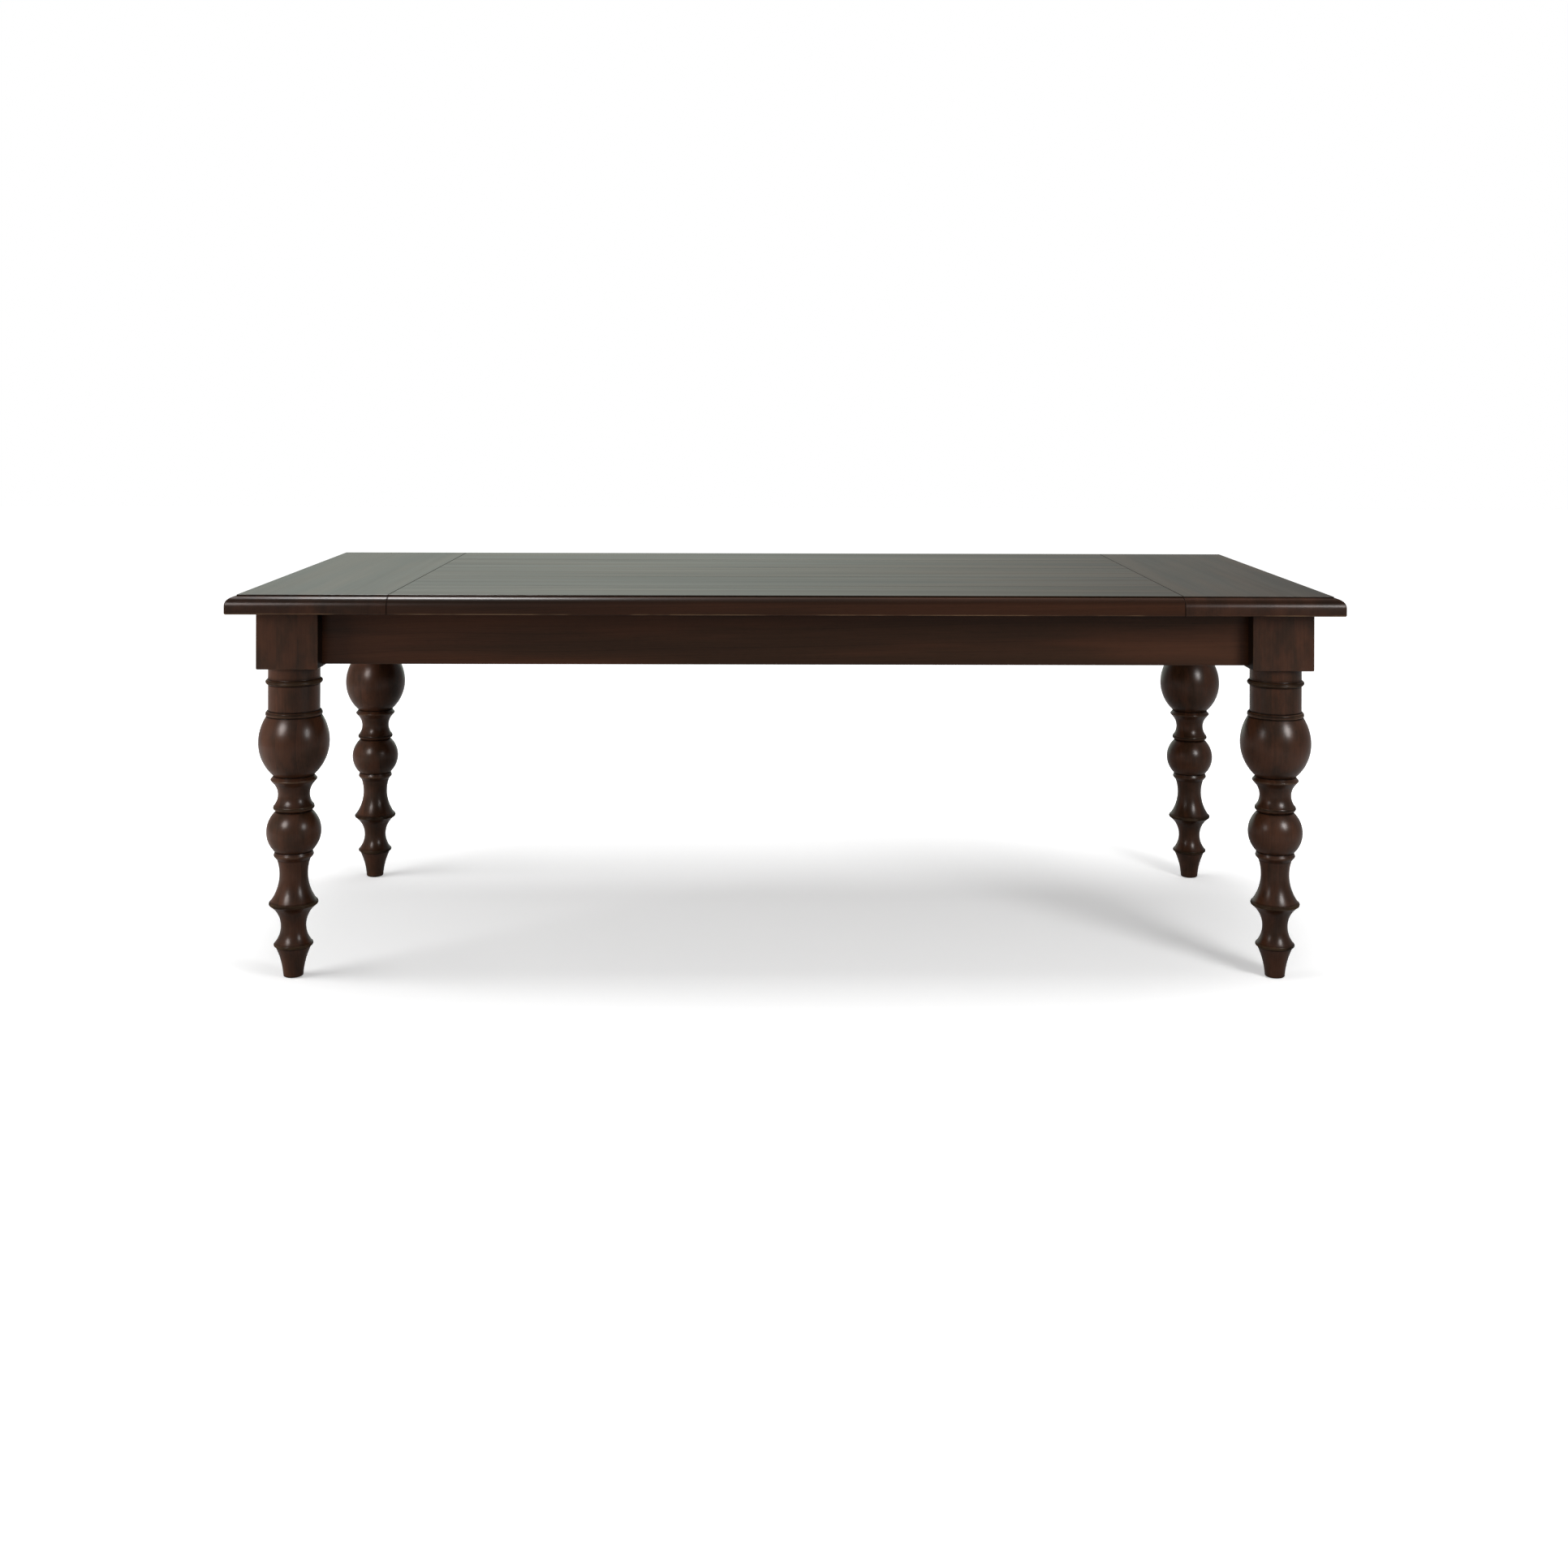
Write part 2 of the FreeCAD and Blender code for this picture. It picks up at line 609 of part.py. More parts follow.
def bolt_start():
    """The inner face of the corner block, along the bolt from the leg's corner."""
    return CORNER_FLAT / math.sqrt(2) - CORNER_BLOCK_THICKNESS


def on_bolt(shape, height, distance):
    """Stand a shape, drawn along Z, on a bolt's line."""
    base = Vector(CORNER_X, CORNER_Y, height) + OUT_OF_CORNER * distance
    shape.Placement = Placement(base, ALONG_BOLT)
    return shape


def corner_block():
    near = CORNER_FOOT_START
    far = near + CORNER_BLOCK_FOOT
    plan = [
        (CORNER_X - near, LONG_APRON_Y),
        (CORNER_X - far, LONG_APRON_Y),
        (END_APRON_X, CORNER_Y - far),
        (END_APRON_X, CORNER_Y - near),
    ]
    block = plan_prism(plan, CORNER_BLOCK_BOTTOM, TOP_UNDERSIDE)
    middle = CORNER_X - CORNER_TONGUE_PLACE
    half = CORNER_TONGUE_WIDTH / 2
    tongue = box(
        (middle - half, LONG_APRON_Y - CORNER_TONGUE_DEPTH, CORNER_BLOCK_BOTTOM),
        (middle + half, LONG_APRON_Y + CORNER_TONGUE_DEPTH, TOP_UNDERSIDE),
    )
    block = block.fuse(tongue).fuse(across_corner(tongue)).removeSplitter()

    out = Vector(0, 1, 0)
    for seat in corner_screw_seats():
        pocket = screw_pocket(seat, out, CORNER_BLOCK_THICKNESS)
        cutter = pocket.fuse(screw_hole(seat, out, CORNER_SCREW_LENGTH))
        block = block.cut(cutter).cut(across_corner(cutter))
    depth = CORNER_BLOCK_THICKNESS + 2 * OVERRUN
    for height in BOLT_HEIGHTS:
        hole = Part.makeCylinder(BOLT_HOLE_RADIUS, depth)
        block = block.cut(on_bolt(hole, height, bolt_start() - OVERRUN))
    return block


def corner_screws():
    screws = [screw(seat, Vector(0, 1, 0), CORNER_SCREW_LENGTH) for seat in corner_screw_seats()]
    return screws + [across_corner(each) for each in screws]


def hanger_bolts():
    back = WASHER_THICKNESS + NUT_THICKNESS + BOLT_END_SPARE
    length = back + CORNER_BLOCK_THICKNESS + BOLT_GRIP_IN_LEG
    bolts = []
    for height in BOLT_HEIGHTS:
        bolts.append(on_bolt(Part.makeCylinder(BOLT_RADIUS, length), height, bolt_start() - back))
    return bolts


def bolt_washers():
    washers = []
    for height in BOLT_HEIGHTS:
        ring = Part.makeCylinder(WASHER_RADIUS, WASHER_THICKNESS)
        ring = ring.cut(Part.makeCylinder(BOLT_HOLE_RADIUS, WASHER_THICKNESS))
        washers.append(on_bolt(ring, height, bolt_start() - WASHER_THICKNESS))
    return washers


def bolt_nuts():
    corner_radius = NUT_ACROSS_FLATS / 2 / math.cos(math.pi / NUT_SIDES)
    plan = []
    for side in range(NUT_SIDES):
        turn = 2 * math.pi * side / NUT_SIDES
        plan.append((corner_radius * math.cos(turn), corner_radius * math.sin(turn)))
    nuts = []
    for height in BOLT_HEIGHTS:
        nut = plan_prism(plan, 0, NUT_THICKNESS)
        nut = nut.cut(Part.makeCylinder(BOLT_RADIUS + SCREW_CLEARANCE, NUT_THICKNESS))
        nuts.append(on_bolt(nut, height, bolt_start() - WASHER_THICKNESS - NUT_THICKNESS))
    return nuts


# Cross rails, buttons and their screws

def cross_rail(share):
    half = RAIL_WIDTH / 2
    bottom = TOP_UNDERSIDE - RAIL_THICKNESS
    x = share * 2 * SEAM_X
    rail = box((x - half, -LONG_APRON_Y, bottom), (x + half, LONG_APRON_Y, TOP_UNDERSIDE))
    tail = plan_prism(tail_plan(0, -OVERRUN), bottom, TOP_UNDERSIDE)
    tail.translate(Vector(x, LONG_APRON_Y, 0))
    rail = rail.fuse(tail).fuse(tail.mirror(Vector(), Vector(0, 1, 0))).removeSplitter()
    for number in range(BOARD_COUNT):
        seat = rail_screw_place(number, share)
        travel = 0 if number == BOARD_COUNT // 2 else SCREW_SLOT_TRAVEL
        head = seat - UP * SCREW_HEAD_SINK
        if travel:
            rail = rail.cut(slot(SCREW_RADIUS + SCREW_CLEARANCE, travel, seat, RAIL_THICKNESS))
            pocket = SCREW_HEAD_RADIUS + SCREW_HEAD_CLEARANCE
            rail = rail.cut(slot(pocket, travel, head, SCREW_HEAD_SINK))
        else:
            rail = rail.cut(screw_hole(seat, UP, RAIL_THICKNESS))
            rail = rail.cut(screw_pocket(seat, UP, SCREW_HEAD_SINK))
    return rail


def rail_screws():
    screws = []
    for share in RAIL_PLACE_SHARES:
        for number in range(BOARD_COUNT):
            screws.append(screw(rail_screw_place(number, share), UP, rail_screw_length()))
    return screws


def button_seat():
    """Where a button's screw head sits, in the button's own drawing."""
    middle = -(BUTTON_LENGTH + BUTTON_STANDOFF) / 2
    return Vector(0, middle, TOP_UNDERSIDE - BUTTON_THICKNESS + SCREW_HEAD_SINK)


def button_screw_length():
    return BUTTON_THICKNESS - SCREW_HEAD_SINK + SCREW_BITE


def place_buttons(shape):
    """Copies of a shape, drawn at an apron's inner face, at every button's place."""
    placed = []
    for side in (0, 180):
        for share in SIDE_BUTTON_SHARES:
            copy = shape.copy()
            copy.translate(Vector(share * 2 * SEAM_X, LONG_APRON_Y, 0))
            copy.rotate(Vector(), UP, side)
            placed.append(copy)
        for share in END_BUTTON_SHARES:
            copy = shape.copy()
            copy.translate(Vector(share * TABLE_WIDTH, END_APRON_X, 0))
            copy.rotate(Vector(), UP, side - 90)
            placed.append(copy)
    return placed


def button_screw_holes():
    return place_buttons(screw_hole(button_seat(), UP, button_screw_length()))


def button():
    bottom = TOP_UNDERSIDE - BUTTON_THICKNESS
    half = BUTTON_WIDTH / 2
    body = box((-half, -BUTTON_LENGTH - BUTTON_STANDOFF, bottom), (half, -BUTTON_STANDOFF, TOP_UNDERSIDE))
    tongue_top = TOP_UNDERSIDE - BUTTON_GROOVE_DROP - JOINT_CLEARANCE
    tongue = box(
        (-half, -BUTTON_LENGTH / 2, tongue_top - BUTTON_TONGUE_THICKNESS),
        (half, BUTTON_TONGUE_LENGTH, tongue_top),
    )
    body = body.fuse(tongue).removeSplitter()
    body = body.cut(screw_hole(button_seat(), UP, BUTTON_THICKNESS))
    return body.cut(screw_pocket(button_seat(), UP, SCREW_HEAD_SINK))


def write(node, solids):
    if len(solids) == 1:
        shape = solids[0]
    else:
        shape = Part.makeCompound(solids)
    shape.exportStep(os.path.join("parts", node + ".step"))


os.makedirs("parts", exist_ok=True)

for number in range(BOARD_COUNT):
    write("top_board_" + str(number + 1), [top_board(number)])
for name, side in (("left", -1), ("right", 1)):
    write("breadboard_" + name, [breadboard_end(side)])
    write("breadboard_pegs_" + name, breadboard_pegs(side))
    write("end_apron_" + name, [end_apron(side)])
for name, side in (("front", -1), ("back", 1)):
    write("long_apron_" + name, [long_apron(side)])

leg_shape = leg()
glide_shape = foot_glide()
corner_block_shape = corner_block()
for corner in CORNERS:
    write("leg_" + corner, [in_corner(leg_shape, corner)])
    write("foot_glide_" + corner, [in_corner(glide_shape, corner)])
    write("corner_block_" + corner, [in_corner(corner_block_shape, corner)])

write("corner_screws", in_all_corners(corner_screws()))
write("hanger_bolts", in_all_corners(hanger_bolts()))
write("bolt_washers", in_all_corners(bolt_washers()))
write("bolt_nuts", in_all_corners(bolt_nuts()))

for name, share in zip(("left", "middle", "right"), RAIL_PLACE_SHARES):
    write("cross_rail_" + name, [cross_rail(share)])
write("rail_screws", rail_screws())
write("top_buttons", place_buttons(button()))
write("button_screws", place_buttons(screw(button_seat(), UP, button_screw_length())))
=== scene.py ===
import math

import bmesh
import bpy
from mathutils import Matrix, Vector


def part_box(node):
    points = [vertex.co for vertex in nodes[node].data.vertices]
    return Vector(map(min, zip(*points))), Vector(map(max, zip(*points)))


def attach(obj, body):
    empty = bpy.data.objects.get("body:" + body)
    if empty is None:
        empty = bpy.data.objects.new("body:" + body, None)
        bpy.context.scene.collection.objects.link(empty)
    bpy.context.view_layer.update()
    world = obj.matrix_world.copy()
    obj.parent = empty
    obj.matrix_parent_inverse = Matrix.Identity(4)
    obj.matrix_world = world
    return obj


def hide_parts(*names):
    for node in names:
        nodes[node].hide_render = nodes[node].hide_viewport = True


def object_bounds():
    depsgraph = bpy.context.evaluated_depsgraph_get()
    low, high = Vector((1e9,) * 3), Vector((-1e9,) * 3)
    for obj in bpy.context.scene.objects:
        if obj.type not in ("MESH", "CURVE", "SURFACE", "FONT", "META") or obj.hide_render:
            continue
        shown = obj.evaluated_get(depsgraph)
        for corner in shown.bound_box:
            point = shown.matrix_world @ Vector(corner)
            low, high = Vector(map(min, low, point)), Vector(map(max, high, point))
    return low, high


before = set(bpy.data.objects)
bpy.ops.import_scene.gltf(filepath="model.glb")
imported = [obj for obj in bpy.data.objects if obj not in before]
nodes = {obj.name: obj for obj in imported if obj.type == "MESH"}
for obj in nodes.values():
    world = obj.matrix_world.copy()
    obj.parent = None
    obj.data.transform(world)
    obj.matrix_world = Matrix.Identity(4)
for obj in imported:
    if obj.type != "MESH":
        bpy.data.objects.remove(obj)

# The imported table, in metres: X runs along it, Y from its front to its back and Z up from the
# floor. Nothing on it moves, so every piece rides on its one body.

packed_low, packed_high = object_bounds()
BODY = "root"


# Legs
# Each leg is a blank glued up from three thick boards, left square at the top and turned below into
# a heavy baluster, with a sharp quirk cut beside every ring. The frame is stained espresso and
# sprayed with satin lacquer, and its arrises are rubbed through a little before the last coat.

# Each leg's sides of the table, where its pith lay, seen from the blank, and how deep it took the stain
LEGS = {
    "front_left": (-1, -1, (0.0, 0.31, 0.86), 1.04),
    "front_right": (1, -1, (0.0, 0.47, -0.83), 0.94),
    "back_left": (-1, 1, (0.0, -0.42, 0.90), 1.02),
    "back_right": (1, 1, (0.0, -0.29, -0.88), 0.95),
}
LEG_LEAN, LEG_BLOTCHES, LEG_SHEEN = (0, 0.012, 0.006), (13, 30), 0.30
LEG_X, LEG_Y = 0.970, 0.378
FOOT_BOTTOM = 0.0015
BLOCK_BOTTOM = 0.613
BLOCK_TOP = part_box("leg_front_left")[1].z
BLOCK_HALF = 0.060
BLOCK_EASING = 0.0025
BLOCK_EASING_STEPS = 4
CORNER_FLAT = 0.012
CORNER_FLAT_BOTTOM = 0.633
NECK_IN_BLOCK = 0.002
LEG_FACETS = 96

# The turning from the foot up. Heights are shares of the turned length and radii are shares of
# half the block. A cut goes to its first point: straight, or in an arc through its second.
TOE = (0.0, 0.2883)
TURNING = (
    ((0.0041, 0.3233), (0.0011, 0.3133)),
    ((0.0973, 0.5767), (0.0482, 0.3950)),
    ((0.1087, 0.6033), (0.1035, 0.6383)),
    ((0.2298, 0.7567), (0.1627, 0.4067)),
    ((0.2428, 0.7450), (0.2366, 0.7950)),
    ((0.3769, 0.5367), (0.3295, 0.4567)),
    ((0.3868, 0.6217), None),
    ((0.3953, 0.6333), (0.3913, 0.6433)),
    ((0.4034, 0.6050), None),
    ((0.5330, 0.5800), (0.4666, 0.8833)),
    ((0.5398, 0.6533), None),
    ((0.5516, 0.6367), (0.5454, 0.6717)),
    ((0.6216, 0.6450), (0.5859, 0.5133)),
    ((0.6324, 0.7417), None),
    ((0.6376, 0.7400), (0.6350, 0.7533)),
    ((0.6478, 0.6533), None),
    ((0.7547, 1.1450), (0.7007, 1.0350)),
    ((0.8414, 0.8817), (0.7989, 1.0817)),
    ((0.8574, 0.8350), (0.8494, 0.9283)),
    ((0.9431, 0.8350), None),
    ((0.9588, 0.8350), (0.9509, 0.9217)),
)

# A cut is drawn with close points at its ends, where quirks and arrises are, and wider ones between
FIRST_STEP = 0.0004
STEP_GROWTH = 1.7
LONGEST_STEP = 0.003
SHARP_TURN = math.radians(20)
EASING_SHARES = (0.25, 0.5, 0.75)
SMALLEST_RISE = 0.00001

# How far rubbed wear, and settled glaze with painted shade in the quirks, reach along the outline,
# # and the turn that makes them full
WEAR_REACH, WEAR_TURN = 0.0012, 0.9
GLAZE_AND_SHADE_REACH, GLAZE_AND_SHADE_TURN = 0.0024, 0.8


def turned_point(shares):
    """A point of the turning as (radius, height)."""
    return Vector((shares[1] * BLOCK_HALF, FOOT_BOTTOM + shares[0] * (BLOCK_BOTTOM - FOOT_BOTTOM)))


def signed_angle(before, after):
    return math.atan2(before.x * after.y - before.y * after.x, before.dot(after))


def circle_centre(first, middle, last):
    """The centre of the circle through three points of a drawing."""
    a, b = middle - first, last - first
    twice_area = 2 * (a.x * b.y - a.y * b.x)
    across = (b.y * a.dot(a) - a.y * b.dot(b)) / twice_area
    up = (a.x * b.dot(b) - b.x * a.dot(a)) / twice_area
    return first + Vector((across, up))


def stations(length):
    """Shares of a cut's length, from its start to just before its end."""
    reach, step, near = 0, FIRST_STEP, []
    while reach + step < length / 2:
        reach += step
        near.append(reach / length)
        step = min(step * STEP_GROWTH, LONGEST_STEP)
    return [0] + near + [1 - share for share in reversed(near)]


def cut_points(start, middle, end):
    """Points along a straight cut, or along the arc through its middle point."""
    if middle is None:
        return [start.lerp(end, share) for share in stations((end - start).length)]
    centre = circle_centre(start, middle, end)
    spoke, middle = start - centre, middle - centre
    turn = signed_angle(spoke, middle) + signed_angle(middle, end - centre)
    points = []
    for share in stations(abs(turn) * spoke.length):
        points.append(centre + Matrix.Rotation(turn * share, 2) @ spoke)
    return points


def eased(outline):
    """The outline with each sharp corner rounded between its neighbours, as sanding leaves it."""
    result = [outline[0]]
    for before, corner, after in zip(outline, outline[1:], outline[2:]):
        if abs(signed_angle(corner - before, after - corner)) < SHARP_TURN:
            result.append(corner)
            continue
        for share in EASING_SHARES:
            result.append(before.lerp(corner, share).lerp(corner.lerp(after, share), share))
    return result + [outline[-1]]


def marks_along(outline, sign, reach, full_turn):
    """How strongly the outline turns near each point: outwards with sign 1, inwards with -1."""
    lengths = [0]
    for before, after in zip(outline, outline[1:]):
        lengths.append(lengths[-1] + (after - before).length)
    turns = [0]
    for before, corner, after in zip(outline, outline[1:], outline[2:]):
        turns.append(max(0, sign * signed_angle(corner - before, after - corner)))
    turns.append(0)
    marks = []
    for here in lengths:
        near = (turn * max(0, 1 - abs(there - here) / reach) for turn, there in zip(turns, lengths))
        marks.append(min(1, sum(near) / full_turn))
    return marks


def mark(mesh, name, values):
    """Give each point of a mesh a number."""
    mesh.attributes.new(name, "FLOAT", "POINT").data.foreach_set("value", values)


def turned_outline():
    """A mesh of the leg's axis whose points carry the turned radius, the wear, and the glaze with
    painted shade in the quirks.
    """
    outline = []
    here = turned_point(TOE)
    for end, middle in TURNING:
        end = turned_point(end)
        outline += cut_points(here, turned_point(middle) if middle else None, end)
        here = end
    outline += [here, Vector((here.x, BLOCK_BOTTOM + NECK_IN_BLOCK))]
    outline = eased(outline)
    for lower, upper in zip(outline, outline[1:]):
        upper.y = max(upper.y, lower.y + SMALLEST_RISE)
    mesh = bpy.data.meshes.new("leg outline")
    edges = [(step, step + 1) for step in range(len(outline) - 1)]
    mesh.from_pydata([(0, 0, point.y) for point in outline], edges, [])
    mark(mesh, "turned_radius", [point.x for point in outline])
    mark(mesh, "wear", marks_along(outline, 1, WEAR_REACH, WEAR_TURN))
    # The quirks are darkened: settled glaze, and painted shade where the outline turns inwards
    mark(mesh, "glaze_and_shade", marks_along(outline, -1, GLAZE_AND_SHADE_REACH, GLAZE_AND_SHADE_TURN))
    return mesh


# Faces over this area are flat wood, and the narrow ones between them are eased or moulded
FLAT_AREA = 0.010
SHARP_EDGE = math.radians(35)
FULL_ARRIS_TURN = 0.25
SQUARELY = 0.9


def drawn(name, draft):
    """The finished mesh of a draft."""
    mesh = bpy.data.meshes.new(name)
    draft.to_mesh(mesh)
    draft.free()
    return mesh


def shade(mesh):
    """Smooth the rounds, and keep the flat faces and the sharp corners crisp."""
    for face in mesh.polygons:
        face.use_smooth = face.area < FLAT_AREA
    mesh.set_sharp_from_angle(angle=SHARP_EDGE)


def leg_block(side_x, side_y):
    """The square block, on the leg's axis, with the flat on the corner that faces the table's middle."""
    half, near = BLOCK_HALF, BLOCK_HALF - CORNER_FLAT
    low = [(half, half), (half, -half), (-half, -half), (-half, half)]
    high = [(half, half), (half, -half), (-near, -half), (-half, -near), (-half, half)]
    block = bmesh.new()
    bottom = [block.verts.new((x, y, BLOCK_BOTTOM)) for x, y in low]
    step = [block.verts.new((x, y, CORNER_FLAT_BOTTOM)) for x, y in (high[2], low[2], high[3])]
    top = [block.verts.new((x, y, BLOCK_TOP)) for x, y in high]
    for face in (
        bottom,
        top,
        (bottom[3], bottom[0], top[0], top[4]),
        (bottom[0], bottom[1], top[1], top[0]),
        (bottom[1], bottom[2], step[1], step[0], top[2], top[1]),
        (bottom[2], bottom[3], top[4], top[3], step[2], step[1]),
        (step[0], step[2], top[3], top[2]),
        step,
    ):
        block.faces.new(face)
    block.verts.index_update()
    outer = [edge for edge in block.edges if any(vertex in bottom for vertex in edge.verts)]
    bmesh.ops.bevel(
        block, geom=outer, offset=BLOCK_EASING, segments=BLOCK_EASING_STEPS, profile=0.5,
        affect="EDGES", clamp_overlap=True,
    )
    bmesh.ops.scale(block, vec=(side_x, side_y, 1), verts=block.verts)
    bmesh.ops.recalc_face_normals(block, faces=block.faces)
    mesh = drawn("leg block", block)
    # Wear shows where the surface turns away from all the flat faces, and the two faces that meet
    # the aprons are painted dark all over, a painted shadow for the shade in the gap beside each apron
    flat = [face for face in mesh.polygons if face.area > FLAT_AREA]
    on_flat = {vertex for face in flat for vertex in face.vertices}
    wear, glaze_and_shade = [], [0] * len(mesh.vertices)
    for vertex in mesh.vertices:
        turned_away = 1 - max(abs(part) for part in vertex.normal)
        wear.append(0 if vertex.index in on_flat else min(1, turned_away / FULL_ARRIS_TURN))
    for face in flat:
        if min(face.normal.x * side_x, face.normal.y * side_y) < -SQUARELY:
            for vertex in face.vertices:
                glaze_and_shade[vertex] = 1
    mark(mesh, "wear", wear)
    mark(mesh, "glaze_and_shade", glaze_and_shade)
    shade(mesh)
    return mesh


def node(tree, kind, inputs=(), **settings):
    """A node of this kind with its settings, and its inputs set, or linked to other nodes' outputs."""
    made = tree.nodes.new(kind)
    for name, value in settings.items():
        setattr(made, name, value)
    for name, value in dict(inputs).items():
        if isinstance(value, bpy.types.NodeSocket):
            tree.links.new(value, made.inputs[name])
        else:
            made.inputs[name].default_value = value
    return made


def new_tree(name, kind, takes, gives):
    """A tree with sockets for what it takes in and gives out, and the outputs that it is given."""
    tree = bpy.data.node_groups.new(name, kind + "NodeTree")
    for way, sockets in (("INPUT", takes), ("OUTPUT", gives)):
        for socket, holds in sockets.items():
            tree.interface.new_socket(socket, in_out=way, socket_type="NodeSocket" + holds)
    return tree, node(tree, "NodeGroupInput").outputs


def finish_tree(tree, geometry, material):
    """Close a tree of shapes: what it gives is plain geometry in one material."""
    real = node(tree, "GeometryNodeRealizeInstances", {"Geometry": geometry}).outputs[0]
    finished = node(tree, "GeometryNodeSetMaterial", {"Geometry": real, "Material": material})
    node(tree, "NodeGroupOutput", {0: finished.outputs[0]})
    return tree


def leg_tree():
    """Sweeps a ring up the leg's outline, adds the block and stands the leg in its place."""
    tree, given = new_tree("Turned leg", "Geometry", {
        "Outline": "Geometry", "Block": "Object", "Facets": "Int", "Place": "Vector", "Wood": "Material",
    }, {"Leg": "Geometry"})
    axis = node(tree, "GeometryNodeMeshToCurve", {"Mesh": given["Outline"]})
    ring = node(tree, "GeometryNodeCurvePrimitiveCircle", {"Resolution": given["Facets"], "Radius": 1})
    radius = node(tree, "GeometryNodeInputNamedAttribute", {"Name": "turned_radius"}, data_type="FLOAT")
    turned = node(tree, "GeometryNodeCurveToMesh", {
        "Curve": axis.outputs["Curve"],
        "Profile Curve": ring.outputs["Curve"],
        "Scale": radius.outputs["Attribute"],
        "Fill Caps": True,
    })
    smooth = node(tree, "GeometryNodeSetShadeSmooth", {"Geometry": turned.outputs["Mesh"]})
    block = node(tree, "GeometryNodeObjectInfo", {"Object": given["Block"]})
    both = node(tree, "GeometryNodeJoinGeometry")
    for part in (block, smooth):
        tree.links.new(part.outputs["Geometry"], both.inputs[0])
    placed = {"Geometry": both.outputs[0], "Offset": given["Place"]}
    placed = node(tree, "GeometryNodeSetPosition", placed)
    return finish_tree(tree, placed.outputs[0], given["Wood"])


def as_object(name, mesh):
    made = bpy.data.objects.new(name, mesh)
    bpy.context.scene.collection.objects.link(made)
    return made


def applied(made):
    """An object's mesh with its modifiers in it."""
    return bpy.data.meshes.new_from_object(made.evaluated_get(bpy.context.evaluated_depsgraph_get()))


def made_by(tree, name, start, **inputs):
    """The plain object that a node tree makes of a starting mesh."""
    blank = as_object("blank", start)
    modifier = blank.modifiers.new("made by", "NODES")
    modifier.node_group = tree
    for item in tree.interface.items_tree:
        if item.in_out == "INPUT" and item.name in inputs:
            modifier[item.identifier] = inputs[item.name]
    mesh = applied(blank)
    bpy.data.objects.remove(blank)
    mesh.name = name
    return as_object(name, mesh)


def number(tree, operation, *values, clamp=False):
    """One step of arithmetic on numbers."""
    made = node(tree, "ShaderNodeMath", dict(enumerate(values)), operation=operation, use_clamp=clamp)
    return made.outputs[0]


def times(tree, value, factor, added=0):
    """The value times a factor, with something added."""
    return number(tree, "MULTIPLY_ADD", value, factor, added)


def vector(tree, operation, first, second=None):
    """One step of arithmetic on vectors. SCALE takes a number second, and LENGTH takes nothing."""
    inputs = {0: first}
    if second is not None:
        inputs[3 if operation == "SCALE" else 1] = second
    made = node(tree, "ShaderNodeVectorMath", inputs, operation=operation)
    return made.outputs["Value" if operation == "LENGTH" else "Vector"]


def swayed(tree, base, noise, amount, clamp=False):
    """The base, raised or lowered as the noise runs over or under its middle."""
    apart = number(tree, "SUBTRACT", noise, 0.5)
    return number(tree, "MULTIPLY_ADD", apart, amount, base, clamp=clamp)


def ramp(tree, value, low, high, start=0.0, end=1.0):
    """A soft step from start to end as the value goes from low to high."""
    inputs = {"Value": value, "From Min": low, "From Max": high, "To Min": start, "To Max": end}
    return node(tree, "ShaderNodeMapRange", inputs, interpolation_type="SMOOTHSTEP").outputs[0]


def blend_colour(tree, share, colour, other):
    return node(tree, "ShaderNodeMix", {0: share, 6: colour, 7: other}, data_type="RGBA").outputs[2]


NOISE_ROUGHNESS = 0.55


def grains(tree, place, along, across, detail, seed=0, output=0):
    """Smooth noise with this many grains a metre along and across the wood."""
    moved = vector(tree, "ADD", vector(tree, "MULTIPLY", place, (along, across, across)), (seed,) * 3)
    inputs = {"Vector": moved, "Scale": 1, "Detail": detail, "Roughness": NOISE_ROUGHNESS}
    return node(tree, "ShaderNodeTexNoise", inputs).outputs[output]


def bumped(tree, height, strength, distance):
    """The surface's direction over small bumps."""
    inputs = {"Height": height, "Strength": strength, "Distance": distance}
    return node(tree, "ShaderNodeBump", inputs).outputs[0]


def new_material(name):
    """A material, its tree, and the place on the piece in the piece's own coordinates."""
    material = bpy.data.materials.new(name)
    material.use_nodes = True
    tree = material.node_tree
    tree.nodes.clear()
    return material, tree, node(tree, "ShaderNodeTexCoord").outputs["Object"]


def principled(tree, inputs):
    """Close a material's tree with its shader."""
    shader = node(tree, "ShaderNodeBsdfPrincipled", inputs)
    node(tree, "ShaderNodeOutputMaterial", {"Surface": shader.outputs[0]})


# Each pattern's grains a metre, along and across the wood, its detail and its seed
BEND_GRAINS, RIPPLE_GRAINS = (1.3, 0.7, 1), (3, 42, 2)
FIBRE_GRAINS, PORE_GRAINS = (14, 800, 3, 3), (55, 2100, 0, 5)
STREAK_GRAINS, CLOUD_GRAINS = (0.9, 34, 4, 7), (1.7, 6, 2, 9)
# The trunk's bend, the rings' ripple and the years' spread in metres, and how often growth changes
TRUNK_BEND = 0.034
RING_RIPPLE = 0.0028
GROWTH_SWING = 0.008
GROWTH_CHANGES = 80
# Shares of a year in which late wood darkens and ends, the palest ring's weight, and a pore's edge
LATE_WOOD, YEAR_END = (0.35, 0.9), (0.93, 1.0)
LIGHTEST_RING = 0.4
PORE_EDGE = (0.64, 0.72)


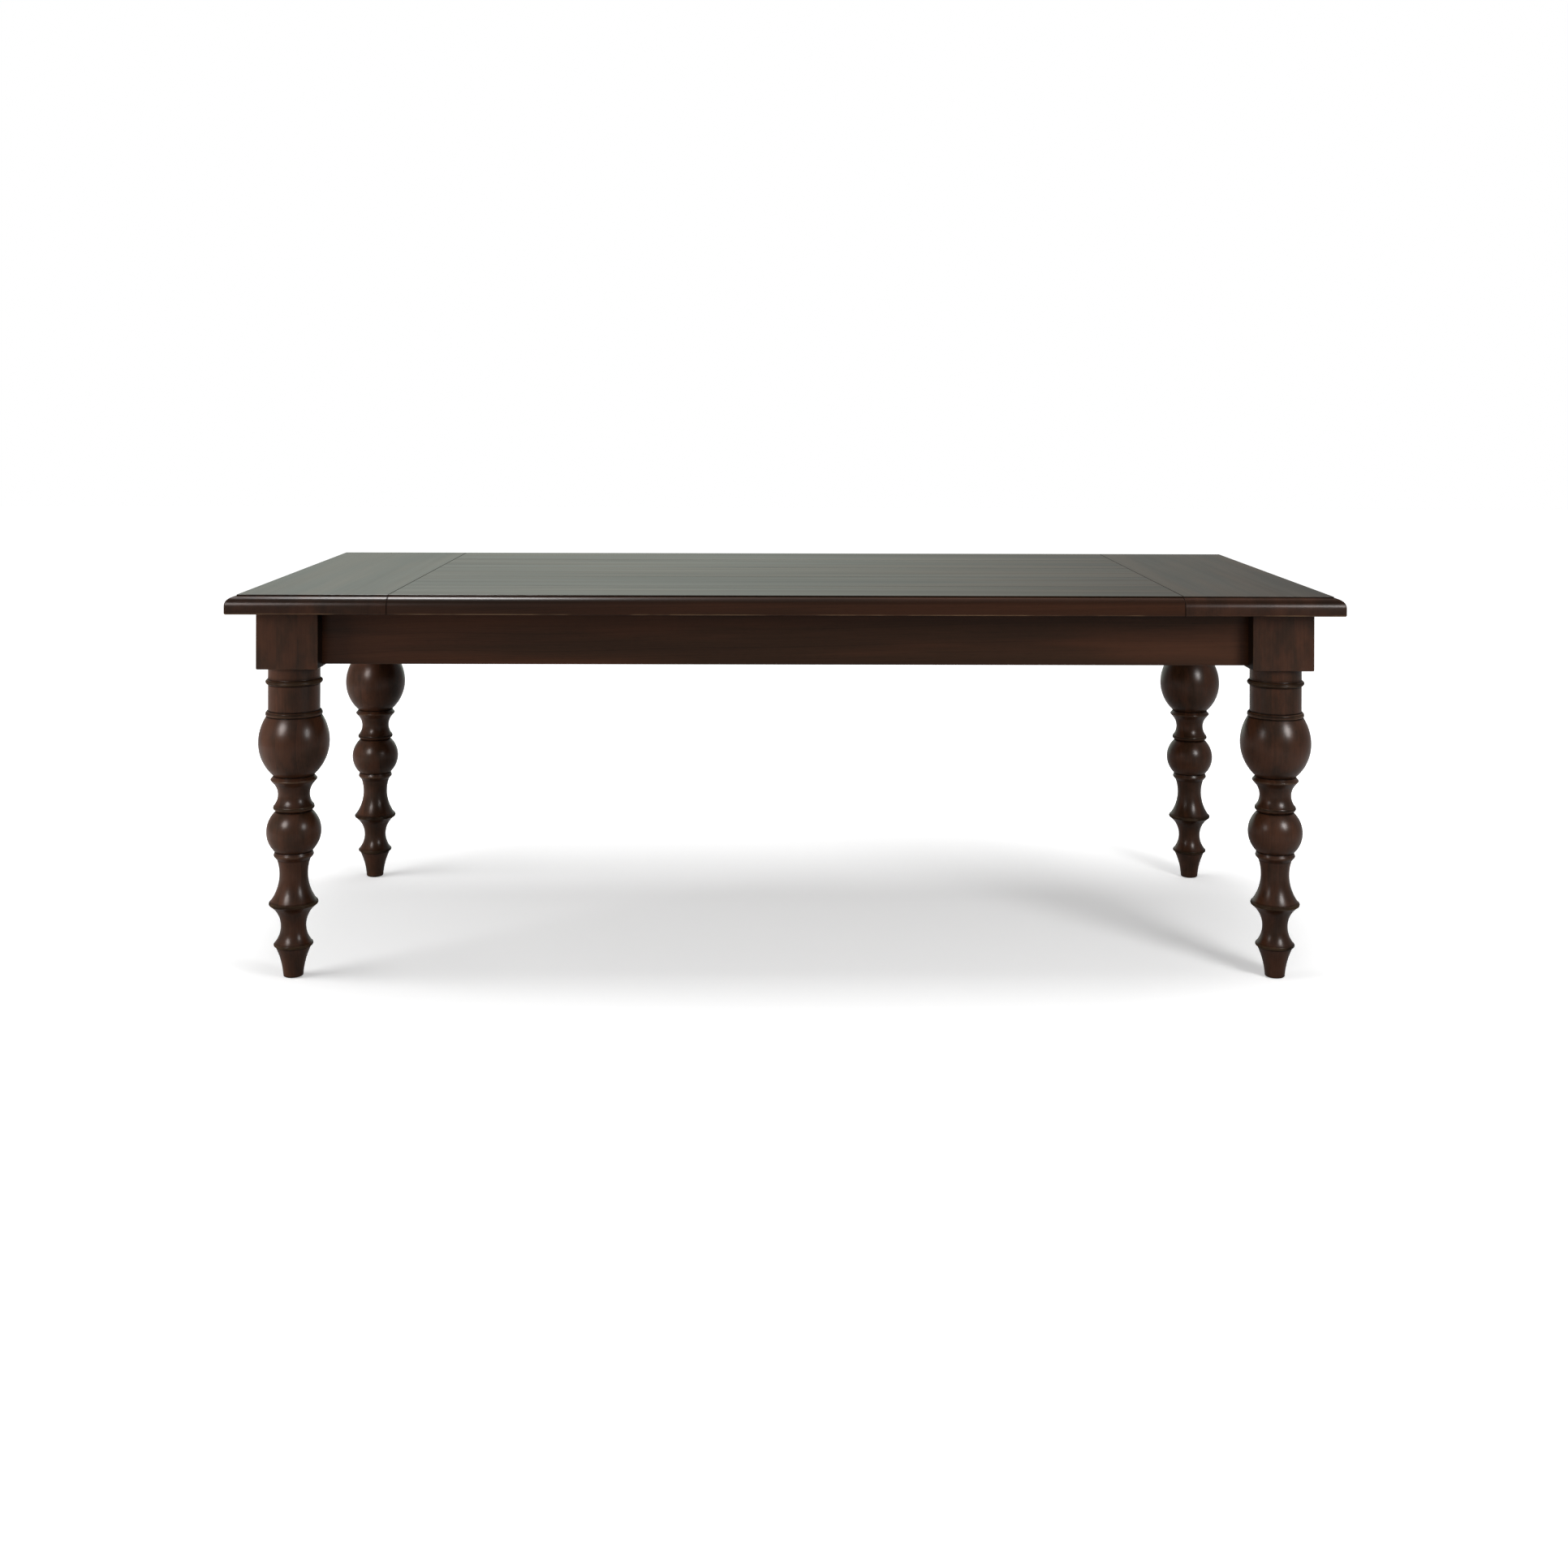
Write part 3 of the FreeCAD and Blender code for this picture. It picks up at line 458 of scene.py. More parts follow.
def wood_figure():
    """Growth rings, fibres, pores, streaks and clouds of a tree whose pith is the X axis."""
    patterns = ("Rings", "Fibres", "Pores", "Streaks", "Clouds")
    takes, gives = {"Place": "Vector", "Ring Width": "Float"}, dict.fromkeys(patterns, "Float")
    tree, given = new_tree("Wood figure", "Shader", takes, gives)
    place = given["Place"]

    # The trunk bends slowly, its rings ripple, and some years are wider than others
    bend = vector(tree, "SUBTRACT", grains(tree, place, *BEND_GRAINS, output="Color"), (0.5,) * 3)
    bent = vector(tree, "ADD", place, vector(tree, "SCALE", bend, TRUNK_BEND))
    trunk = vector(tree, "LENGTH", vector(tree, "MULTIPLY", bent, (0, 1, 1)))
    growth = {"W": times(tree, trunk, GROWTH_CHANGES), "Detail": 1}
    growth = node(tree, "ShaderNodeTexNoise", growth, noise_dimensions="1D").outputs[0]
    reach = swayed(tree, trunk, grains(tree, place, *RIPPLE_GRAINS), RING_RIPPLE)
    year = number(tree, "DIVIDE", swayed(tree, reach, growth, GROWTH_SWING), given["Ring Width"])
    season = number(tree, "FRACT", year)
    late = times(tree, ramp(tree, season, *LATE_WOOD), ramp(tree, season, *YEAR_END, 1, 0))
    weight = {"W": number(tree, "FLOOR", year)}
    weight = node(tree, "ShaderNodeTexWhiteNoise", weight, noise_dimensions="1D").outputs[0]
    weight = times(tree, weight, 1 - LIGHTEST_RING, LIGHTEST_RING)

    node(tree, "NodeGroupOutput", {
        "Rings": times(tree, late, weight),
        "Fibres": grains(tree, place, *FIBRE_GRAINS),
        "Pores": ramp(tree, grains(tree, place, *PORE_GRAINS), *PORE_EDGE),
        "Streaks": grains(tree, place, *STREAK_GRAINS),
        "Clouds": grains(tree, place, *CLOUD_GRAINS),
    })
    return tree


WOOD_FIGURE = wood_figure()


def figured(tree, place, ring_width):
    """The figure's five patterns, at a place in the wood."""
    inputs = {"Place": place, "Ring Width": ring_width}
    return node(tree, "ShaderNodeGroup", inputs, node_tree=WOOD_FIGURE).outputs


# Turns that bring a piece's grain onto the figure's X axis
GRAIN_ALONG = {"X": (0, 0, 0), "Y": (0, 0, -math.pi / 2), "Z": (0, math.pi / 2, 0)}

ESPRESSO = (0.029, 0.0130, 0.0066, 1)
ESPRESSO_RED = (0.043, 0.0165, 0.0082, 1)
# The dark of glaze in quirks and seams, also used as painted shade in creases, on the leg blocks' faces
# beside the aprons, on the riser and round the ovolo
DARK_GLAZE_AND_SHADE = (0.0045, 0.0030, 0.0022, 1)
RUBBED = (0.200, 0.125, 0.070, 1)

# The top face's own toner, darker and greener than the edges: painted shade that offsets the overhead
# light on it
TOP_TONER_AND_SHADE = (0.40, 0.60, 0.48, 1)
EDGE_TONER = (0.68, 0.68, 0.68, 1)
# How much rings and pores darken the stain, and how far fibres, streaks and blotches sway it
RING_TONE, PORE_TONE = -0.20, -0.14
FIBRE_SWAY, STREAK_SWAY, BLOTCH_SWAY = 0.30, 0.55, 0.9
DEEPEST_TONE = 0.25
CLOUD_RED, BLOTCH_RED, RED_EDGE = 0.4, 0.6, (0.40, 0.60)
# Depths below the top's surface at which its own toner, a painted shade, and its polish come in
TONER_AND_SHADE_DEPTHS, POLISH_DEPTHS = (0.0012, 0.0003), (0.015, 0.004)
# The staves of a glued-up blank: how their figures differ, and how dark their joints are
STAVE_WIDTH = 0.040
STAVE_SHIFT = (0.31, 0.045, 0.02)
STAVE_JOINT, JOINT_TONE = (0.485, 0.498), 0.88
SEAM_GLAZE_REACH = (0.0003, 0.0012)
# How fully glaze and painted shade cover the stain, and how much they dull the lacquer
GLAZE_AND_SHADE_COVER, GLAZE_AND_SHADE_DULLING = 0.85, -0.75
WORN_ARRIS = 0.0016
WORN_GRAINS, WORN_PATCHES, LEAST_RUBBING = (8, 26, 3, 2), (0.40, 0.62), 0.04
FIBRE_HEIGHT, PORE_HEIGHT, RING_HEIGHT = 0.6, -0.8, -0.5
EDGE_SHEEN = 0.24
ARRIS_POLISH = 0.3
LACQUER_ROUGHNESS = 0.28
LACQUER_IOR = 1.35
FILM_BUMP = 0.00006


def stained_wood(name, grain, pith, lean=(0, 0, 0), depth=1.0, ring_width=0.0035, blotches=(1.4, 20),
                 sheen=EDGE_SHEEN, streaky=0.0, rubbing=0.2, roughness=LACQUER_ROUGHNESS,
                 staves=None, seams=None, arris=None, top=None):
    """Espresso-stained, lacquered wood with its own pith, as solid figure through the whole piece."""
    material, tree, here = new_material(name)
    turn = [quarter + tilt for quarter, tilt in zip(GRAIN_ALONG[grain], lean)]
    placed = {"Vector": here, "Rotation": turn, "Location": pith}
    placed = node(tree, "ShaderNodeMapping", placed).outputs[0]
    axes = node(tree, "ShaderNodeSeparateXYZ", {0: here}).outputs
    if staves is not None:
        across = number(tree, "DIVIDE", number(tree, "SUBTRACT", axes["X"], staves), STAVE_WIDTH)
        shift = vector(tree, "SCALE", STAVE_SHIFT, number(tree, "FLOOR", across))
        placed = vector(tree, "ADD", placed, shift)
    rings, fibres, pores, streaks, clouds = figured(tree, placed, ring_width)

    # Stain takes unevenly, and lies darker in the late wood and the pores
    blotch = grains(tree, placed, *blotches, 3, seed=11)
    redness = times(tree, blotch, BLOTCH_RED)
    redness = times(tree, clouds, CLOUD_RED, redness)
    body = blend_colour(tree, ramp(tree, redness, *RED_EDGE), ESPRESSO, ESPRESSO_RED)
    tone = times(tree, rings, RING_TONE, depth)
    tone = times(tree, pores, PORE_TONE, tone)
    for noise, sway in ((fibres, FIBRE_SWAY), (streaks, STREAK_SWAY), (blotch, BLOTCH_SWAY)):
        tone = swayed(tree, tone, noise, sway)
    tone = number(tree, "MAXIMUM", tone, DEEPEST_TONE)
    # The top face gets its darker toner, a painted shade, and more polish
    if top:
        upper = ramp(tree, axes["Z"], *(top - below for below in TONER_AND_SHADE_DEPTHS))
        body = vector(tree, "MULTIPLY", body, blend_colour(tree, upper, EDGE_TONER, TOP_TONER_AND_SHADE))
        sheen = ramp(tree, axes["Z"], *(top - below for below in POLISH_DEPTHS), EDGE_SHEEN, sheen)
    if staves is not None:
        from_joint = number(tree, "SUBTRACT", number(tree, "FRACT", across), 0.5)
        joint = ramp(tree, number(tree, "ABSOLUTE", from_joint), *STAVE_JOINT, 1, JOINT_TONE)
        tone = times(tree, tone, joint)
    colour = vector(tree, "SCALE", body, tone)

    # Glaze settles in quirks and seams, painted shade darkens the quirks, the blocks' faces beside the
    #     # aprons, the step's riser and a band of the ovolo, and arrises are rubbed through in patches
    glaze_and_shade = node(tree, "ShaderNodeAttribute", attribute_name="glaze_and_shade").outputs["Fac"]
    for axis, places in (seams or {}).items():
        for place in places:
            away = number(tree, "ABSOLUTE", number(tree, "SUBTRACT", axes[axis], place))
            glaze_and_shade = number(tree, "MAXIMUM", glaze_and_shade, ramp(tree, away, *SEAM_GLAZE_REACH, 1, 0))
    wear = node(tree, "ShaderNodeAttribute", attribute_name="wear").outputs["Fac"]
    if arris:
        wear = number(tree, "MAXIMUM", wear, ramp(tree, axes["Z"], arris, arris + WORN_ARRIS, 1, 0))
    patches = ramp(tree, grains(tree, here, *WORN_GRAINS), *WORN_PATCHES)
    patches = times(tree, patches, rubbing, LEAST_RUBBING)
    rubbed = times(tree, wear, patches)
    if top:
        rubbed = times(tree, rubbed, number(tree, "SUBTRACT", 1, upper))
    colour = blend_colour(tree, times(tree, glaze_and_shade, GLAZE_AND_SHADE_COVER), colour, DARK_GLAZE_AND_SHADE)
    colour = blend_colour(tree, rubbed, colour, RUBBED)

    height = times(tree, fibres, FIBRE_HEIGHT)
    height = times(tree, pores, PORE_HEIGHT, height)
    height = times(tree, rings, RING_HEIGHT, height)
    film = swayed(tree, sheen, streaks, streaky)
    film = times(tree, film, times(tree, glaze_and_shade, GLAZE_AND_SHADE_DULLING, 1))
    if top:
        film = times(tree, times(tree, wear, upper), ARRIS_POLISH, film)
    principled(tree, {
        "Base Color": colour,
        "Roughness": times(tree, fibres, 0.16, 0.42),
        "Specular IOR Level": 0.0,
        "Coat Weight": film,
        "Coat Roughness": roughness,
        "Coat IOR": LACQUER_IOR,
        "Normal": bumped(tree, height, 0.5, FILM_BUMP),
    })
    return material


lathe = leg_tree()
outline = turned_outline()
for corner, (side_x, side_y, pith, depth) in LEGS.items():
    block = as_object("block", leg_block(side_x, side_y))
    wood = stained_wood(
        "leg_wood_" + corner, "Z", pith, LEG_LEAN, depth, blotches=LEG_BLOTCHES, sheen=LEG_SHEEN,
        staves=side_x * LEG_X - BLOCK_HALF,
    )
    leg = made_by(
        lathe, "turned_leg_" + corner, outline, Block=block, Facets=LEG_FACETS,
        Place=(side_x * LEG_X, side_y * LEG_Y, 0), Wood=wood,
    )
    bpy.data.objects.remove(block)
    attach(leg, BODY)
    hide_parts("leg_" + corner)


# Foot glides
# A dark nylon pad is nailed into a shallow seat under each foot, so that the table slides on a
# wooden floor. It is moulded, with a fine matt grain, and is scuffed where it touches the floor.

GLIDE_BROWN = (0.030, 0.022, 0.017, 1)
GLIDE_SCUFF = (0.090, 0.078, 0.066, 1)
GLIDE_BUMP = 0.00005
GLIDE_GRAINS, SCUFF_GRAINS, SCUFF_EDGE = (1800, 1800, 2), (260, 900, 3, 4), (0.52, 0.66)


def moulded_nylon():
    material, tree, here = new_material("moulded_nylon")
    grain = grains(tree, here, *GLIDE_GRAINS)
    scuffs = ramp(tree, grains(tree, here, *SCUFF_GRAINS), *SCUFF_EDGE)
    principled(tree, {
        "Base Color": blend_colour(tree, scuffs, GLIDE_BROWN, GLIDE_SCUFF),
        "Roughness": times(tree, grain, 0.2, 0.42),
        "Normal": bumped(tree, grain, 0.3, GLIDE_BUMP),
    })
    return material


def finish_node(name, material):
    """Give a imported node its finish."""
    nodes[name].data.materials.clear()
    nodes[name].data.materials.append(material)


nylon = moulded_nylon()
for corner in LEGS:
    finish_node("foot_glide_" + corner, nylon)


# Aprons
# Four rails on edge, set back from the faces of the leg blocks. Each is one board, plain, with
# eased lower arrises, finished like the legs: the grain runs along it, in long sloping streaks.

APRON_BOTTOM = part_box("long_apron_front")[0].z
APRON_RINGS = 0.0045
# Each apron's grain, pith and lean
APRON_PITHS = {
    "long_apron_front": ("X", (0.35, 0.455, -0.79), (0.0, 0.016, 0.010)),
    "long_apron_back": ("X", (0.0, -0.44, -0.82), (0.0, -0.012, 0.008)),
    "end_apron_left": ("Y", (0.0, -1.06, -0.60), (0.014, 0.0, 0.010)),
    "end_apron_right": ("Y", (0.0, 0.90, -0.77), (-0.010, 0.0, 0.012)),
}

for apron, grown in APRON_PITHS.items():
    wood = stained_wood(apron + "_wood", *grown, ring_width=APRON_RINGS, arris=APRON_BOTTOM)
    finish_node(apron, wood)


# Corner blocks
# A block of plain hardwood crosses each corner inside the aprons, tongued and screwed to both, and
# the leg's flat is drawn up against it. It is left unstained, sanded and sealed with one thin coat.

PLAIN_WOOD = (0.42, 0.27, 0.145, 1)
PLAIN_WOOD_DARK = (0.27, 0.155, 0.078, 1)
SANDED_BUMP = 0.00012
# How much rings, pores and streaks darken plain wood, and how far its fibres and clouds sway it
RING_SHADE, PORE_SHADE, STREAK_SHADE = 0.6, 0.35, 0.7
PLAIN_TONE, PLAIN_SWAY = 0.95, 0.35


def plain_wood(name, grain, pith, ring_width=0.0028):
    """Unstained hardwood with one thin coat of sealer."""
    material, tree, here = new_material(name)
    placed = {"Vector": here, "Rotation": GRAIN_ALONG[grain], "Location": pith}
    placed = node(tree, "ShaderNodeMapping", placed).outputs[0]
    rings, fibres, pores, streaks, clouds = figured(tree, placed, ring_width)
    shadow = times(tree, rings, RING_SHADE, times(tree, pores, PORE_SHADE))
    shadow = swayed(tree, shadow, streaks, STREAK_SHADE, clamp=True)
    body = blend_colour(tree, shadow, PLAIN_WOOD, PLAIN_WOOD_DARK)
    tone = swayed(tree, swayed(tree, PLAIN_TONE, fibres, PLAIN_SWAY), clouds, PLAIN_SWAY)
    height = times(tree, pores, -1, fibres)
    principled(tree, {
        "Base Color": vector(tree, "SCALE", body, tone),
        "Roughness": times(tree, fibres, 0.2, 0.45),
        "Specular IOR Level": 0.3,
        "Normal": bumped(tree, height, 0.6, SANDED_BUMP),
    })
    return material


corner_wood = plain_wood("corner_block_wood", "Z", (0.0, 0.11, 0.23))
for corner in LEGS:
    finish_node("corner_block_" + corner, corner_wood)


# Bolts, washers and nuts
# Two hanger bolts a leg: a wood thread holds in the leg, and a machine thread passes through the
# corner block to a washer and a hexagon nut. All are zinc-plated steel, and come off with the legs.

BOLT_RADIUS = 0.004
THREAD_PITCH = 0.00125
THREAD_DEPTH = 0.00045
THREAD_SHARPNESS = 1.6
THREAD_ROWS = 6
THREADED_END = 0.026
BOLT_FACETS = 24
NUT_FLATS = 0.013
NUT_THICKNESS = 0.0065
NUT_FACETS = 48
NUT_CHAMFER = math.radians(30)
NUT_CROWN, COUNTERSINK = 0.96, 0.15
WASHER_RADIUS, WASHER_HOLE, WASHER_THICKNESS = 0.011, 0.0045, 0.0016
METAL_EASING = 0.0002
TUMBLED_CORNER = ((1, 0), (0.3, 0.3), (0, 1))


def ring_mesh(name, rows, closed):
    """A skin over rows of points. Closed rows meet the first row again, and open ones are capped."""
    skin = bmesh.new()
    rings = [[skin.verts.new(point) for point in row] for row in rows]
    pairs = list(zip(rings, rings[1:] + ([rings[0]] if closed else [])))
    for lower, upper in pairs:
        for step in range(len(lower)):
            after = (step + 1) % len(lower)
            skin.faces.new((lower[step], lower[after], upper[after], upper[step]))
    if not closed:
        skin.faces.new(rings[0])
        skin.faces.new(rings[-1])
    bmesh.ops.recalc_face_normals(skin, faces=skin.faces)
    return drawn(name, skin)


def lathed(name, facets, outline, closed):
    """A skin round Z. The outline's radii and heights are numbers, or functions of the angle."""
    rows = []
    for radius, height in outline:
        row = []
        for step in range(facets):
            angle = 2 * math.pi * step / facets
            out = radius(angle) if callable(radius) else radius
            up = height(angle) if callable(height) else height
            row.append((out * math.cos(angle), out * math.sin(angle), up))
        rows.append(row)
    return ring_mesh(name, rows, closed)


def bolt_mesh(length):
    """A hanger bolt along Z with its machine thread at the lower end."""
    step = THREAD_PITCH / THREAD_ROWS
    outline = [(BOLT_RADIUS - 2 * THREAD_DEPTH, 0)]
    for index in range(1, round(THREADED_END / step)):
        height = index * step
        depth = THREAD_DEPTH * min(1, (THREADED_END - height) / THREAD_PITCH)

        def radius(angle, height=height, depth=depth):
            phase = (height / THREAD_PITCH - angle / (2 * math.pi)) % 1
            return BOLT_RADIUS - depth * abs(2 * phase - 1) * THREAD_SHARPNESS

        outline.append((radius, height))
    outline += [
        (BOLT_RADIUS, THREADED_END),
        (BOLT_RADIUS, length - 2 * BOLT_RADIUS),
        (BOLT_RADIUS / 4, length),
    ]
    return lathed("bolt", BOLT_FACETS, outline, closed=False)


def hexagon(angle):
    """How far out a nut's side is at an angle."""
    sixth = math.pi / 3
    return NUT_FLATS / 2 / math.cos((angle % sixth) - sixth / 2)


def nut_mesh():
    """A hexagon nut on Z with both ends chamfered, and a countersunk bore."""
    crown = NUT_FLATS / 2 * NUT_CROWN
    sunk = BOLT_RADIUS * COUNTERSINK

    def drop(angle):
        return (hexagon(angle) - crown) * math.tan(NUT_CHAMFER)

    outline = (
        (crown, 0),
        (hexagon, drop),
        (hexagon, lambda angle: NUT_THICKNESS - drop(angle)),
        (crown, NUT_THICKNESS),
        (BOLT_RADIUS + sunk, NUT_THICKNESS),
        (BOLT_RADIUS, NUT_THICKNESS - sunk),
        (BOLT_RADIUS, sunk),
        (BOLT_RADIUS + sunk, 0),
    )
    return lathed("nut", NUT_FACETS, outline, closed=True)


def washer_mesh():
    """A flat washer on Z, with the soft edges that stamping and tumbling leave."""
    outline = []
    for radius, inward in ((WASHER_RADIUS, -METAL_EASING), (WASHER_HOLE, METAL_EASING)):
        low = [(radius + inward * out, METAL_EASING * up) for out, up in TUMBLED_CORNER]
        side = low + [(out, WASHER_THICKNESS - up) for out, up in reversed(low)]
        outline += side if inward < 0 else reversed(side)
    return lathed("washer", NUT_FACETS, outline, closed=True)


def fastener_tree():
    """Sets one fastener out at every marked point, turned as the point says."""
    takes = {"Points": "Geometry", "Fastener": "Object", "Metal": "Material"}
    tree, given = new_tree("Fasteners set out", "Geometry", takes, {"Fasteners": "Geometry"})
    points = node(tree, "GeometryNodeMeshToPoints", {"Mesh": given["Points"]})
    turn = node(tree, "GeometryNodeInputNamedAttribute", {"Name": "turn"}, data_type="FLOAT_VECTOR")
    one = node(tree, "GeometryNodeObjectInfo", {"Object": given["Fastener"], "As Instance": True})
    out = node(tree, "GeometryNodeInstanceOnPoints", {
        "Points": points.outputs[0],
        "Instance": one.outputs["Geometry"],
        "Rotation": turn.outputs["Attribute"],
    })
    return finish_tree(tree, out.outputs[0], given["Metal"])


fastener_layout = fastener_tree()


def solids_of(name):
    """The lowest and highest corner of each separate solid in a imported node."""
    copy = bmesh.new()
    copy.from_mesh(nodes[name].data)
    bmesh.ops.remove_doubles(copy, verts=copy.verts, dist=1e-6)
    waiting = set(copy.verts)
    boxes = []
    while waiting:
        search, places = [waiting.pop()], []
        while search:
            vertex = search.pop()
            places.append(vertex.co.copy())
            joined = {edge.other_vert(vertex) for edge in vertex.link_edges} & waiting
            waiting -= joined
            search += joined
        boxes.append((Vector(map(min, *places)), Vector(map(max, *places))))
    copy.free()
    return sorted(boxes, key=lambda box: tuple(round(part, 5) for part in box[0]))


def set_out(name, replaced, fastener, places, metal):
    """Stand copies of a fastener, drawn along Z, at places that each give a start and a direction."""
    points = bpy.data.meshes.new("places")
    points.from_pydata([start for start, _ in places], [], [])
    turns = points.attributes.new("turn", "FLOAT_VECTOR", "POINT")
    for index, (_, direction) in enumerate(places):
        turns.data[index].vector = direction.to_track_quat("Z", "Y").to_euler()
    pattern = as_object("pattern", fastener)
    shade(fastener)
    piece = made_by(fastener_layout, name, points, Fastener=pattern, Metal=metal)
    bpy.data.objects.remove(pattern)
    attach(piece, BODY)
    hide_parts(replaced)


def slanting_length(low, high):
    """How long a round solid is that lies level, halfway between X and Y, in this box."""
    return (high.x - low.x) * math.sqrt(2) - (high.z - low.z)


def bolt_places(name):
    """Where each solid on a bolt's line starts, at its end nearer the table's middle."""
    places = []
    for low, high in solids_of(name):
        out = Vector((math.copysign(1, low.x), math.copysign(1, low.y), 0)).normalized()
        places.append(((low + high) / 2 - out * slanting_length(low, high) / 2, out))
    return places


def metal_finish(name, light, dark, roughness):
    """Plated steel: faintly mottled, with a fine tumbled grain."""
    material, tree, here = new_material(name)
    mottle = ramp(tree, grains(tree, here, *MOTTLE_GRAINS), *MOTTLE_EDGE)
    fine = grains(tree, here, *PLATING_GRAINS)
    principled(tree, {
        "Base Color": blend_colour(tree, mottle, dark, light),
        "Roughness": times(tree, fine, 0.2, roughness),
        "Metallic": 1.0,
        "Normal": bumped(tree, fine, 0.25, PLATING_BUMP),
    })
    return material


ZINC_LIGHT, ZINC_DARK = (0.66, 0.68, 0.70, 1), (0.44, 0.46, 0.49, 1)
PLATING_BUMP = 0.00003
MOTTLE_GRAINS, MOTTLE_EDGE, PLATING_GRAINS = (420, 420, 3), (0.35, 0.65), (2600, 2600, 2, 6)

zinc = metal_finish("zinc_plating", ZINC_LIGHT, ZINC_DARK, 0.26)
bolt_length = slanting_length(*solids_of("hanger_bolts")[0])
for name, replaced, mesh in (
    ("threaded_hanger_bolts", "hanger_bolts", bolt_mesh(bolt_length)),
    ("round_washers", "bolt_washers", washer_mesh()),
    ("hexagon_nuts", "bolt_nuts", nut_mesh()),
):
    set_out(name, replaced, mesh, bolt_places(replaced), zinc)


# Corner screws
# Pan-head wood screws, sunk in pockets, hold each corner block to its two aprons. They are steel
# with yellow zinc plate, driven with a cross-point bit, and their shanks are hidden in the wood.

SCREW_HEAD_RADIUS = 0.0045
SCREW_HEAD_HEIGHT = 0.0025
HEAD_OUTLINE = ((0.55, 1), (0.80, 0.92), (0.95, 0.68), (1, 0.35))
SCREW_RADIUS = 0.0022
SCREW_TIP, EVEN_SHANK = SCREW_RADIUS / 5, 0.8
SCREW_FACETS = 32
CROSS_WIDTH = 0.0011
CROSS_REACH = 0.0025
CROSS_DEPTH = 0.0016


def cut_away(mesh, tool, crossing=False):
    """The mesh less a tool, whose own parts may cross."""
    whole, cutter = as_object("whole", mesh), as_object("cutter", tool)
    cut = whole.modifiers.new("cut", "BOOLEAN")
    cut.operation, cut.object, cut.use_self = "DIFFERENCE", cutter, crossing
    result = applied(whole)
    bpy.data.objects.remove(whole)
    bpy.data.objects.remove(cutter)
    return result


def screw_mesh(length):
    """A screw with its seat at zero: the head lies below it, and the tapered shank runs up."""
    outline = [(SCREW_HEAD_RADIUS * out, -SCREW_HEAD_HEIGHT * up) for out, up in HEAD_OUTLINE]
    outline += [
        (SCREW_HEAD_RADIUS, -METAL_EASING),
        (SCREW_HEAD_RADIUS - METAL_EASING, 0),
        (SCREW_RADIUS, 0),
        (SCREW_RADIUS, length * EVEN_SHANK),
        (SCREW_TIP, length),
    ]
    cross = bmesh.new()
    for turn in (0, math.pi / 2):
        size = Matrix.Diagonal((2 * CROSS_REACH, CROSS_WIDTH, 2 * CROSS_DEPTH, 1))
        place = Matrix.Translation((0, 0, -SCREW_HEAD_HEIGHT))
        bmesh.ops.create_cube(cross, size=1, matrix=place @ Matrix.Rotation(turn, 4, "Z") @ size)
    whole = lathed("screw", SCREW_FACETS, outline, closed=False)
    return cut_away(whole, drawn("cross", cross), crossing=True)


def screw_places(name):
    """Each screw's seat, with the way its shank points, and how long the shanks are."""
    places = []
    for low, high in solids_of(name):
        size, middle = high - low, (low + high) / 2
        axis = max(range(3), key=lambda index: size[index])
        way = Vector((0, 0, 0))
        way[axis] = math.copysign(1, middle[axis])
        places.append((middle - way * (size[axis] / 2 - SCREW_HEAD_HEIGHT), way))
    return places, max(size) - SCREW_HEAD_HEIGHT


def drive_screws(name, replaced):
    places, shank = screw_places(replaced)
    set_out(name, replaced, screw_mesh(shank), places, steel)


YELLOW_ZINC_LIGHT, YELLOW_ZINC_DARK = (0.66, 0.59, 0.38, 1), (0.47, 0.40, 0.24, 1)

steel = metal_finish("screw_steel", YELLOW_ZINC_LIGHT, YELLOW_ZINC_DARK, 0.30)
drive_screws("corner_wood_screws", "corner_screws")


# Cross rails
# Three flat rails of plain hardwood are dovetailed into the top edges of the long aprons. They keep
# the aprons straight and carry the middle of the top, which is screwed down through slots in them.

RAIL_PITHS = {"left": -0.50, "middle": 0.09, "right": 0.44}

for rail, offset in RAIL_PITHS.items():
    finish_node("cross_rail_" + rail, plain_wood("cross_rail_wood_" + rail, "Y", (0.0, offset, -0.64)))
drive_screws("rail_wood_screws", "rail_screws")


# Top boards
# Five long boards, tongued and grooved edge to edge, make the field of the top. The front and back
# # ones carry the moulding: a small step, an ovolo and a flat face with an eased lower arris. Each
# # seam is a fine groove, dark with glaze, and the lacquer's sheen shows the boards' long streaks.
# # The step's riser and a band round the ovolo are painted dark as shade, and the top face is toned
# # darker than its edges, a painted shade too.

TOP_SURFACE = packed_high.z
TOP_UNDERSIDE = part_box("top_board_3")[0].z
TABLE_END = packed_high.x
TABLE_SIDE = packed_high.y
SEAM_X = 0.768
BOARD_SEAMS = (-0.2895, -0.0965, 0.0965, 0.2895)
SEAM_BEVEL = 0.0008
MOULD_INSET = 0.020
MOULD_STEP = 0.003
OVOLO_HEIGHT = 0.018
OVOLO_STEPS = 16
# The ovolo's band of painted shade, how far round it starts and how fast it swells and fades
OVOLO_PAINTED_SHADE, OVOLO_SHADE_START, OVOLO_SHADE_PACE = 0.65, 0.22, 3.4
# The step's riser: where it turns, and its glaze and painted shade
RISER_TURNS, RISER_GLAZE_AND_SHADE = (0.15, 0.70), 0.9
LOWER_ROUND = 0.003
LOWER_ROUND_STEPS = 6
WORN_STEPS = (3, 4, 5)
TOP_ARRIS = 0.0005
ARRIS_WEAR = {0: 0.3, 0.3: 1, 1: 0.5}
CORNER_ROUND = 0.004
CORNER_STEPS = 8
SHARPEST_CORNER = 0.0003
BESIDE_SEAM_MARKS, BESIDE_SEAM_GLAZE = 0.6, 0.35


